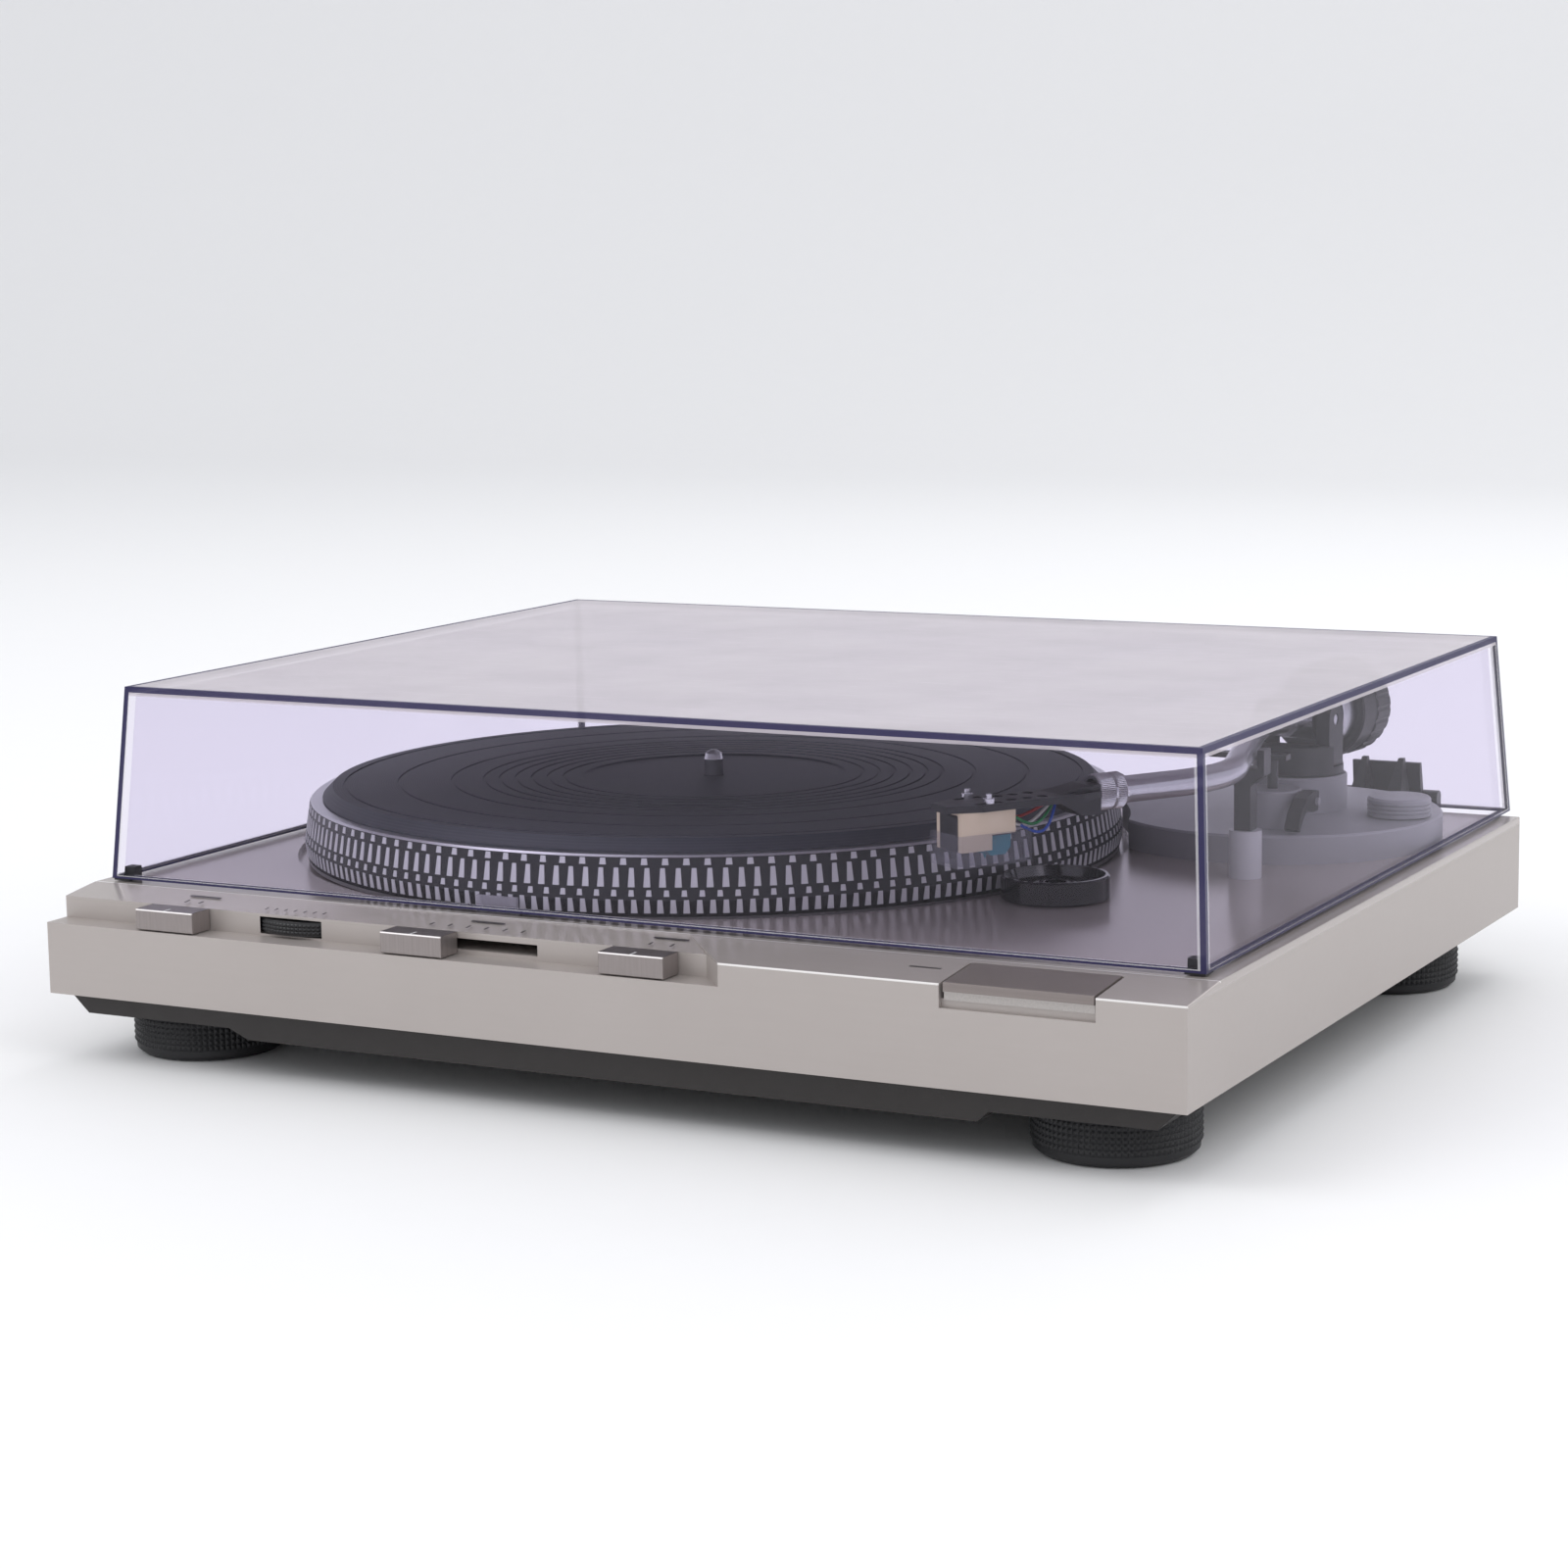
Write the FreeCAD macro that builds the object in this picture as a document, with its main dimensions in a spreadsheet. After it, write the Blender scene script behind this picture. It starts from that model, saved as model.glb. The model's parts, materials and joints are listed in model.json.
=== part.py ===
"""Automatic direct-drive turntable with an S-shaped tonearm, lid closed and arm on its rest.

Frame: X to the right, Y to the back, Z up, origin on the floor under the middle of the whole player.
In the sheet and in the code below, y values are measured back from the cabinet's front face;
seat() moves them into the frame. Millimetres and degrees throughout.
"""
import FreeCAD, Part
import math
import os
import Sketcher
from FreeCAD import Placement, Rotation, Vector

DRIVING_DIMENSIONS = [
    ("overall_depth", 367.84),
    ("cabinet_width", 430.0),
    ("cabinet_depth", 356.0),
    ("cabinet_bottom", 24.4),
    ("deck_height", 60.0),
    ("deck_thickness", 4.0),
    ("front_edge_height", 57.7),
    ("bevel_depth", 27.9),
    ("cabinet_wall", 4.0),
    ("recess_floor", 50.0),
    ("recess_depth", 11.0),
    ("recess_end", 55.5),
    ("tray_bottom", 17.0),
    ("tray_belly", 13.5),
    ("foot_radius", 27.4),
    ("foot_height", 16.0),
    ("foot_spread", 175.7),
    ("foot_front", 40.7),
    ("foot_rear", 313.0),
    ("platter_x", -49.0),
    ("platter_y", 190.5),
    ("platter_radius", 154.0),
    ("platter_bottom", 58.8),
    ("platter_top", 81.0),
    ("well_radius", 157.0),
    ("well_depth", 2.5),
    ("mat_radius", 147.0),
    ("mat_top", 85.6),
    ("spindle_radius", 3.6),
    ("spindle_top", 94.8),
    ("lid_bottom", 61.1),
    ("lid_top", 130.0),
    ("lid_wall", 3.0),
    ("lid_half_bottom", 209.45),
    ("lid_half_top", 205.4),
    ("lid_front_bottom", 30.6),
    ("lid_front_top", 37.3),
    ("lid_back_bottom", 362.1),
    ("lid_back_top", 353.9),
    ("hinge_y", 365.0),
    ("hinge_z", 64.0),
    ("hinge_spread", 160.0),
    ("arm_x", 149.0),
    ("arm_y", 287.0),
    ("arm_axis_height", 104.6),
    ("arm_angle", 263.74),
    ("shell_angle", 237.2),
    ("stylus_x", 123.7),
    ("stylus_y", 56.3),
    ("stylus_height", 87.1),
    ("tube_radius", 4.5),
    ("collar_start", 41.7),
    ("collar_length", 12.0),
    ("platform_x", 143.5),
    ("platform_y", 279.3),
    ("platform_radius", 61.5),
    ("platform_top", 70.5),
    ("tower_radius", 18.4),
    ("tower_top", 83.8),
    ("yaw_shaft_radius", 8.0),
    ("lift_x", 154.0),
    ("lift_y", 245.0),
    ("rest_x", 161.8),
    ("rest_y", 195.0),
    ("dial_x", 190.5),
    ("dial_y", 281.0),
    ("adapter_x", 115.8),
    ("adapter_y", 132.5),
    ("adapter_radius", 18.8),
    ("knob_width", 24.2),
    ("knob_height", 7.3),
    ("knob_depth", 10.2),
    ("speed_knob_x", -163.9),
    ("repeat_knob_x", -61.8),
    ("size_knob_x", 23.0),
    ("wheel_x", -117.8),
    ("wheel_y", 32.0),
    ("wheel_radius", 24.0),
    ("key_left", 134.4),
    ("key_right", 184.8),
    ("key_depth", 23.0),
    ("running_fit", 0.05),
]

doc = FreeCAD.newDocument("turntable")
sheet = doc.addObject("Spreadsheet::Sheet", "dims")
for row, (alias, value) in enumerate(DRIVING_DIMENSIONS, start=1):
    sheet.set(f"A{row}", alias)
    sheet.set(f"B{row}", str(value))
    sheet.setAlias(f"B{row}", alias)
doc.recompute()
D = {alias: float(sheet.get(alias)) for alias, value in DRIVING_DIMENSIONS}

ALONG_X = Rotation(Vector(0, 1, 0), 90)
ALONG_Y = Rotation(Vector(1, 0, 0), -90)
ARM_TURN = Rotation(Vector(0, 0, 1), D["arm_angle"])
SHELL_TURN = Rotation(Vector(0, 0, 1), D["shell_angle"])
FRONT = -D["overall_depth"] / 2
LEVER_PIN_HEIGHT = 80.0

nodes = []


# ---------------------------------------------------------------- helpers

def keep(obj):
    """List an object as a finished sub-part, written under its own label."""
    nodes.append(obj)
    return obj


def seat(obj, x=0, y=0, z=0, turn=Rotation()):
    """Place an object: numbers or sheet expressions, y measured back from the front face."""
    obj.Placement = Placement(Vector(), turn)
    obj.setExpression("Placement.Base.x", str(x))
    obj.setExpression("Placement.Base.y", f"{y} - dims.overall_depth / 2")
    obj.setExpression("Placement.Base.z", str(z))
    return obj


def primitive(kind, name, sizes, x=0, y=0, z=0, turn=Rotation()):
    """A Part primitive with every size bound to an expression."""
    obj = doc.addObject(kind, name)
    obj.Label = name
    for size, expression in sizes.items():
        obj.setExpression(size, str(expression))
    return seat(obj, x, y, z, turn)


def box(name, length, width, height, x, y, z, turn=Rotation()):
    sizes = {"Length": length, "Width": width, "Height": height}
    return primitive("Part::Box", name, sizes, x, y, z, turn)


def cylinder(name, radius, height, x, y, z, turn=Rotation()):
    return primitive("Part::Cylinder", name, {"Radius": radius, "Height": height}, x, y, z, turn)


def cut(name, base, tool):
    obj = doc.addObject("Part::Cut", name)
    obj.Label = name
    obj.Base = base
    obj.Tool = tool
    return obj


def fuse(name, shapes):
    obj = doc.addObject("Part::MultiFuse", name)
    obj.Label = name
    obj.Shapes = shapes
    return obj


def group(name, shapes):
    """Identical loose pieces kept in one sub-part."""
    obj = doc.addObject("Part::Compound", name)
    obj.Label = name
    obj.Links = shapes
    return obj


def rounded(name, base, radius, edges):
    """Part::Fillet on the numbered edges of an object."""
    obj = doc.addObject("Part::Fillet", name)
    obj.Label = name
    obj.Base = base
    obj.Edges = [(edge, radius, radius) for edge in edges]
    return obj


def new_body(name):
    body = doc.addObject("PartDesign::Body", name)
    body.Label = name
    return body


def origin_plane(body, role):
    return next(f for f in body.Origin.OriginFeatures if f.Role == role)


def new_sketch(body, name, role, offset=0.0):
    """A sketch on one of the body's own origin planes, moved along that plane's normal."""
    sketch = body.newObject("Sketcher::SketchObject", name)
    sketch.AttachmentSupport = [(origin_plane(body, role), "")]
    sketch.MapMode = "FlatFace"
    sketch.AttachmentOffset = Placement(Vector(0, 0, offset), Rotation())
    return sketch


def draw_outline(sketch, points):
    """A closed outline of straight lines, each joined to the next."""
    first = sketch.GeometryCount
    count = len(points)
    for start, end in zip(points, points[1:] + points[:1]):
        sketch.addGeometry(Part.LineSegment(Vector(*start, 0), Vector(*end, 0)), False)
    for index in range(count):
        following = first + (index + 1) % count
        sketch.addConstraint(Sketcher.Constraint("Coincident", first + index, 2, following, 1))


def draw_rectangle(sketch, left, low, right, high):
    draw_outline(sketch, [(left, low), (right, low), (right, high), (left, high)])


def draw_circle(sketch, across, up, radius):
    """A circle whose radius is an expression of the sheet."""
    index = sketch.addGeometry(Part.Circle(Vector(across, up, 0), Vector(0, 0, 1), 1.0), False)
    constraint = sketch.addConstraint(Sketcher.Constraint("Radius", index, 1.0))
    sketch.setExpression(f"Constraints[{constraint}]", str(radius))


def pad(body, name, sketch, length, backwards=False, midplane=False):
    feature = body.newObject("PartDesign::Pad", name)
    feature.Profile = sketch
    feature.setExpression("Length", str(length))
    feature.Reversed = backwards
    feature.Midplane = midplane
    return feature


def pocket(body, name, sketch, depth, against_normal=True):
    """Cut a sketch into the body; by default the cut runs against the sketch's normal."""
    feature = body.newObject("PartDesign::Pocket", name)
    feature.Profile = sketch
    feature.setExpression("Length", str(depth))
    feature.Reversed = not against_normal
    return feature


def padded(name, role, outline, length, offset=0.0, backwards=False, midplane=False):
    body = new_body(name)
    sketch = new_sketch(body, name + "_outline", role, offset)
    draw_outline(sketch, outline)
    pad(body, name + "_pad", sketch, length, backwards, midplane)
    return body


def turned(name, outline, x=0, y=0, z=0, turn=Rotation()):
    """A body of revolution: the outline is (radius, height), turned about the body's own Z axis."""
    body = new_body(name)
    sketch = new_sketch(body, name + "_outline", "XZ_Plane")
    draw_outline(sketch, outline)
    feature = body.newObject("PartDesign::Revolution", name + "_turned")
    feature.Profile = sketch
    feature.ReferenceAxis = (sketch, ["V_Axis"])
    feature.Angle = 360
    return seat(body, x, y, z, turn)


def arm_point(along, across=0.0):
    """Plan place of a point in the tonearm's frame: along towards the stylus, across to its left."""
    turned_point = ARM_TURN.multVec(Vector(along, across, 0))
    return D["arm_x"] + turned_point.x, D["arm_y"] + turned_point.y


def shell_point(along, across=0.0):
    """Plan place of a point in the headshell's frame: along from the stylus towards the tip."""
    turned_point = SHELL_TURN.multVec(Vector(along, across, 0))
    return D["stylus_x"] + turned_point.x, D["stylus_y"] + turned_point.y


def arm_seat(obj, along=0.0, across=0.0, z="dims.arm_axis_height", turn=Rotation()):
    x, y = arm_point(along, across)
    return seat(obj, x, y, z, ARM_TURN.multiply(turn))


def shell_seat(obj, along=0.0, across=0.0, z="dims.arm_axis_height", turn=Rotation()):
    x, y = shell_point(along, across)
    return seat(obj, x, y, z, SHELL_TURN.multiply(turn))


# ---------------------------------------------------------------- cabinet and tray

BEARING_HOLE = 12.0
SLIDER_SLOTS = [(-171.0, -154.7), (-66.5, -18.5), (18.5, 32.2)]
SLOT_LOW, SLOT_HIGH = 51.6, 55.4
REAR_HOLES = [(118.0, 5.0), (88.0, 5.0), (62.0, 2.0)]
REAR_HOLE_HEIGHT = 38.0


def make_cabinet():
    """A hollow shell: bevelled front, control recess with a slanted end, key notch, platter well."""
    body = new_body("cabinet")
    half = D["cabinet_width"] / 2
    inner = half - D["cabinet_wall"]
    depth, bottom, deck = D["cabinet_depth"], D["cabinet_bottom"], D["deck_height"]
    bevel, floor, recess = D["bevel_depth"], D["recess_floor"], D["recess_depth"]

    side = new_sketch(body, "cabinet_side", "YZ_Plane")
    draw_outline(side, [(0, bottom), (0, D["front_edge_height"]), (bevel, deck), (depth, deck),
                        (depth, bottom)])
    block = pad(body, "cabinet_block", side, "dims.cabinet_width", midplane=True)
    doc.recompute()
    top_edges = [f"Edge{i + 1}" for i, edge in enumerate(block.Shape.Edges)
                 if edge.BoundBox.ZMin > D["front_edge_height"] - 0.1]
    soften = body.newObject("PartDesign::Fillet", "cabinet_soft_edges")
    soften.Base = (block, top_edges)
    soften.Radius = 0.5

    rear_hollow = new_sketch(body, "rear_hollow_plan", "XY_Plane", bottom)
    draw_rectangle(rear_hollow, -inner, bevel, inner, depth - D["cabinet_wall"])
    pocket(body, "rear_hollow", rear_hollow,
           "dims.deck_height - dims.deck_thickness - dims.cabinet_bottom", against_normal=False)
    front_hollow = new_sketch(body, "front_hollow_plan", "XY_Plane", bottom)
    draw_rectangle(front_hollow, -inner, D["cabinet_wall"], inner, bevel + 1)
    pocket(body, "front_hollow", front_hollow,
           "dims.recess_floor - dims.deck_thickness - dims.cabinet_bottom", against_normal=False)

    lean = (recess - 0.9) / recess
    end = D["recess_end"]
    recess_plan = new_sketch(body, "recess_plan", "XY_Plane", floor)
    draw_outline(recess_plan, [(-half - 1, -1), (end + lean, -1), (end - lean * recess, recess),
                               (-half - 1, recess)])
    pocket(body, "control_recess", recess_plan, 12, against_normal=False)
    slope = (deck - D["front_edge_height"]) / bevel
    brow_front = D["front_edge_height"] + slope * recess - 1.0
    brow_angle = math.degrees(math.atan2(deck - brow_front, bevel - recess))
    brow_run = math.hypot(deck - brow_front, bevel - recess)
    brow = new_sketch(body, "control_brow_plane", "XY_Plane")
    brow.AttachmentOffset = Placement(Vector(0, recess, brow_front), Rotation(Vector(1, 0, 0), brow_angle))
    draw_outline(brow, [(-half - 1, -1), (end - lean * (recess - 1), -1), (end - lean * bevel, brow_run),
                        (-half - 1, brow_run)])
    pocket(body, "control_brow", brow, 3, against_normal=False)

    ledge_front, ledge_top = 2.1, floor + 2.7
    notch_left, notch_right = D["key_left"] - 1.3, D["key_right"] + 0.6
    slit = new_sketch(body, "key_slit_plan", "XY_Plane", floor)
    draw_rectangle(slit, notch_left, -1, notch_right, ledge_front)
    pocket(body, "key_slit", slit, 12, against_normal=False)
    notch = new_sketch(body, "key_notch_plan", "XY_Plane", ledge_top)
    draw_rectangle(notch, notch_left, -1, notch_right, D["key_depth"] + 0.6)
    pocket(body, "key_notch", notch, 12, against_normal=False)
    key_hole = new_sketch(body, "key_hole_plan", "XY_Plane", ledge_top)
    draw_circle(key_hole, (D["key_left"] + D["key_right"]) / 2, 12, 3.5)
    pocket(body, "key_hole", key_hole, 13)

    well = new_sketch(body, "well_plan", "XY_Plane", deck)
    draw_circle(well, D["platter_x"], D["platter_y"], "dims.well_radius")
    pocket(body, "platter_well", well, "dims.well_depth")
    holes = new_sketch(body, "deck_holes_plan", "XY_Plane", deck)
    draw_circle(holes, D["platter_x"], D["platter_y"], BEARING_HOLE)
    draw_circle(holes, D["arm_x"], D["arm_y"], "dims.yaw_shaft_radius + 1")
    pocket(body, "deck_holes", holes, 10)

    slots = new_sketch(body, "slot_faces", "XZ_Plane", -(recess - 3))
    for left, right in SLIDER_SLOTS:
        draw_rectangle(slots, left, SLOT_LOW, right, SLOT_HIGH)
    pocket(body, "slider_slots", slots, "dims.bevel_depth - dims.recess_depth + 4")
    cavity = new_sketch(body, "wheel_cavity_plan", "XY_Plane", SLOT_HIGH + 1.2)
    draw_circle(cavity, D["wheel_x"], D["wheel_y"], "dims.wheel_radius + 0.6")
    pocket(body, "wheel_cavity", cavity, 6)
    rear = new_sketch(body, "rear_holes_face", "XZ_Plane", -(depth - 6))
    for x, radius in REAR_HOLES:
        draw_circle(rear, x, REAR_HOLE_HEIGHT, radius)
    pocket(body, "rear_holes", rear, 8)
    return keep(seat(body))


def make_tray():
    """The dark tray that closes the cabinet from below, deeper between the feet."""
    half, bottom = D["cabinet_width"] / 2, D["cabinet_bottom"]
    low, belly = D["tray_bottom"], D["tray_belly"]
    outline = [(-half + 4, bottom), (-half + 12, low), (-142, low), (-134, belly), (143, belly),
               (147, low), (half - 12, low), (half - 4, bottom)]
    body = padded("base_tray", "XZ_Plane", outline, 344, offset=-6, backwards=True)
    shell = 2.5
    plan = new_sketch(body, "tray_hollow_plan", "XY_Plane", bottom)
    draw_rectangle(plan, -half + 16, 9, half - 16, 347)
    pocket(body, "tray_hollow", plan, "dims.cabinet_bottom - dims.tray_bottom - 2.5")
    belly_plan = new_sketch(body, "tray_belly_plan", "XY_Plane", bottom)
    draw_rectangle(belly_plan, -131, 9, 140, 347)
    pocket(body, "tray_belly_hollow", belly_plan, "dims.cabinet_bottom - dims.tray_belly - 2.5")
    stud_plan = new_sketch(body, "stud_holes_plan", "XY_Plane", low + shell)
    for side in (-1, 1):
        for y in (D["foot_front"], D["foot_rear"]):
            draw_circle(stud_plan, side * D["foot_spread"], y, 3.0)
    pocket(body, "stud_holes", stud_plan, 5)
    return keep(seat(body))


def make_feet():
    """Four round feet that turn on studs fixed to the tray."""
    radius, height = D["foot_radius"], D["foot_height"]
    outline = [(0, 0), (radius - 5, 0), (radius - 1.6, 1.4), (radius, 4.6), (radius, height - 1.2),
               (radius - 1.2, height), (4.05, height), (4.05, 5), (0, 5)]
    studs = []
    for end, y in (("front", "dims.foot_front"), ("rear", "dims.foot_rear")):
        for name, sign in (("left", "-"), ("right", "")):
            x = f"{sign}dims.foot_spread"
            keep(turned(f"foot_{end}_{name}", outline, x, y, 0))
            stem = cylinder(f"stud_stem_{end}_{name}", 4, "dims.tray_bottom - 6", x, y, 6)
            neck = cylinder(f"stud_neck_{end}_{name}", 3, 3, x, y, "dims.tray_bottom - 0.5")
            studs.append(fuse(f"stud_{end}_{name}", [stem, neck]))
    keep(group("foot_studs", studs))


# ---------------------------------------------------------------- platter and motor

def make_platter():
    """Cast platter with a hollow underside, ribbed rubber mat, spindle and magnet ring."""
    radius, low, top = D["platter_radius"], D["platter_bottom"], D["platter_top"]
    mat, shaft = D["mat_radius"], D["spindle_radius"]
    at = {"x": "dims.platter_x", "y": "dims.platter_y"}
    web, seat_height = top - 4, top - 0.4
    keep(turned("platter", [
        (shaft, web - 3), (18, web - 3), (18, web), (147.5, web), (149.2, low), (radius - 1, low),
        (radius, 65.8), (radius - 2.3, top - 0.8), (radius - 3.1, top), (mat + 0.3, top),
        (mat + 0.3, seat_height), (shaft, seat_height)], **at))

    label_radius, groove_width, groove_depth = 50.0, 1.2, 0.4
    face = D["mat_top"]
    outline = [(shaft + 0.3, seat_height), (mat, seat_height), (mat, top + 0.8), (mat - 3.8, face)]
    for groove in (138.0, 118.0, 98.0, 86.0, 80.0, 74.0, 68.0, 62.0, 56.0):
        outline += [(groove + groove_width, face), (groove + groove_width, face - groove_depth),
                    (groove, face - groove_depth), (groove, face)]
    outline += [(label_radius, face), (label_radius - 0.6, face - 0.6), (shaft + 0.3, face - 0.6)]
    keep(turned("mat", outline, **at))

    tip, nose = D["spindle_top"], 1.4
    keep(turned("spindle", [(0, 34.3), (shaft, 34.3), (shaft, tip - 3.6), (shaft - 0.5, tip - nose),
                            (nose, tip - 0.25), (0, tip)], **at))
    keep(turned("rotor_magnet", [(50, 62), (58, 62), (58, web), (50, web)], **at))

    well_floor = D["deck_height"] - D["well_depth"]
    sleeve, bore = BEARING_HOLE - 0.2, shaft + D["running_fit"]
    keep(turned("bearing_housing", [(0, 30), (sleeve, 30), (sleeve, 72), (bore, 72), (bore, 34), (0, 34)],
                **at))
    keep(turned("motor_stator", [(sleeve, well_floor), (48, well_floor), (48, 70), (sleeve, 70)], **at))


# ---------------------------------------------------------------- dust cover

def frustum(name, inset, ceiling):
    """A box with leaning walls as a Part::Wedge; its own Y axis is turned up to Z."""
    rise = f"(({ceiling}) - dims.lid_bottom) / (dims.lid_top - dims.lid_bottom)"
    half = f"(dims.lid_half_bottom + (dims.lid_half_top - dims.lid_half_bottom) * {rise} - {inset})"
    front = f"(dims.lid_front_bottom + (dims.lid_front_top - dims.lid_front_bottom) * {rise} + {inset})"
    back = f"(dims.lid_back_bottom + (dims.lid_back_top - dims.lid_back_bottom) * {rise} - {inset})"
    sizes = {
        "Xmin": f"-(dims.lid_half_bottom - {inset})", "Xmax": f"dims.lid_half_bottom - {inset}",
        "Zmin": f"-(dims.lid_back_bottom - {inset})", "Zmax": f"-(dims.lid_front_bottom + {inset})",
        "X2min": f"-{half}", "X2max": half, "Z2min": f"-{back}", "Z2max": f"-{front}",
        "Ymin": "dims.lid_bottom", "Ymax": ceiling,
    }
    return primitive("Part::Wedge", name, sizes, turn=Rotation(Vector(1, 0, 0), 90))


def make_lid():
    """Clear cover of flat leaning walls, rubber bumpers and the moving half of each hinge."""
    outer = frustum("lid_outside", 0, "dims.lid_top")
    inner = frustum("lid_inside", "dims.lid_wall", "dims.lid_top - dims.lid_wall")
    cover = keep(cut("dust_cover", outer, inner))

    blocks = []
    for name, x in (("left", "-dims.lid_half_bottom + 0.5"), ("right", "dims.lid_half_bottom - 7.5")):
        block = box(f"bumper_block_{name}", 7, 7, 4.6, x, "dims.lid_front_bottom + 0.5", 60.4)
        blocks.append(cut(f"bumper_{name}", block, cover))
    keep(group("lid_bumpers", blocks))

    hinge_y, hinge_z = D["hinge_y"], D["hinge_z"]
    knuckle_half, bar_half = 13.7, 16.0
    for name, sign in (("left", -1), ("right", 1)):
        x = sign * D["hinge_spread"]
        leaf_outline = [(hinge_y - 4.5, hinge_z - 2.8), (hinge_y, hinge_z - 2.8), (hinge_y, hinge_z + 2.8),
                        (hinge_y - 2.8, hinge_z + 14), (hinge_y - 7, hinge_z + 14)]
        web = padded(f"leaf_web_{name}", "YZ_Plane", leaf_outline, 2 * knuckle_half, x, midplane=True)
        seat(web)
        knuckle = cylinder(f"leaf_knuckle_{name}", 2.8, 2 * knuckle_half, x - knuckle_half,
                           "dims.hinge_y", "dims.hinge_z", ALONG_X)
        bore = cylinder(f"leaf_bore_{name}", "1.2 + dims.running_fit", 2 * knuckle_half + 2,
                        x - knuckle_half - 1, "dims.hinge_y", "dims.hinge_z", ALONG_X)
        solid = cut(f"leaf_solid_{name}", fuse(f"leaf_blank_{name}", [web, knuckle]), bore)
        keep(cut(f"hinge_leaf_{name}", solid, outer))

        bar = box(f"bar_plate_{name}", 2 * bar_half, 14, 5, x - bar_half, 346, 62)
        fins = []
        for side in (-1, 1):
            fin = padded(f"bar_fin_{name}_{side + 1}", "YZ_Plane",
                         [(347, 66), (360, 66), (360, 80), (355, 80)],
                         3.6, x + side * 6.0, midplane=True)
            fins.append(seat(fin))
        blank = fuse(f"bar_blank_{name}", [bar] + fins)
        inside = frustum(f"bar_room_{name}", "dims.lid_wall", "dims.lid_top - dims.lid_wall")
        common = doc.addObject("Part::Common", f"hinge_bar_{name}")
        common.Label = f"hinge_bar_{name}"
        common.Base = blank
        common.Tool = inside
        keep(common)


def make_hinge_brackets():
    """The fixed half of each hinge: a plate on the cabinet's back, two ears and the pin between them."""
    y, z, back = D["hinge_y"], D["hinge_z"], D["cabinet_depth"]
    ear_half, ear_thick = 20.0, 6.0
    ear_outline = [(back, z - 18), (y + 2.8, z - 18), (y + 2.8, z), (y - 2.3, z), (y - 2.3, z - 4.2),
                   (back, z - 4.2)]
    for name, sign in (("left", -1), ("right", 1)):
        x = sign * D["hinge_spread"]
        parts = [box(f"bracket_plate_{name}", 2 * ear_half, 3, 16, x - ear_half, back, z - 20.4)]
        for side in (-1, 1):
            centre = x + side * (ear_half - ear_thick / 2)
            ear = padded(f"bracket_ear_{name}_{side + 1}", "YZ_Plane", ear_outline, ear_thick, centre,
                         midplane=True)
            parts.append(seat(ear))
            parts.append(cylinder(f"bracket_eye_{name}_{side + 1}", 2.8, ear_thick, centre - ear_thick / 2,
                                  "dims.hinge_y", "dims.hinge_z", ALONG_X))
        parts.append(cylinder(f"bracket_pin_{name}", 1.2, 2 * ear_half, x - ear_half, "dims.hinge_y",
                              "dims.hinge_z", ALONG_X))
        keep(fuse(f"hinge_bracket_{name}", parts))


# ---------------------------------------------------------------- tonearm base

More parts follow.
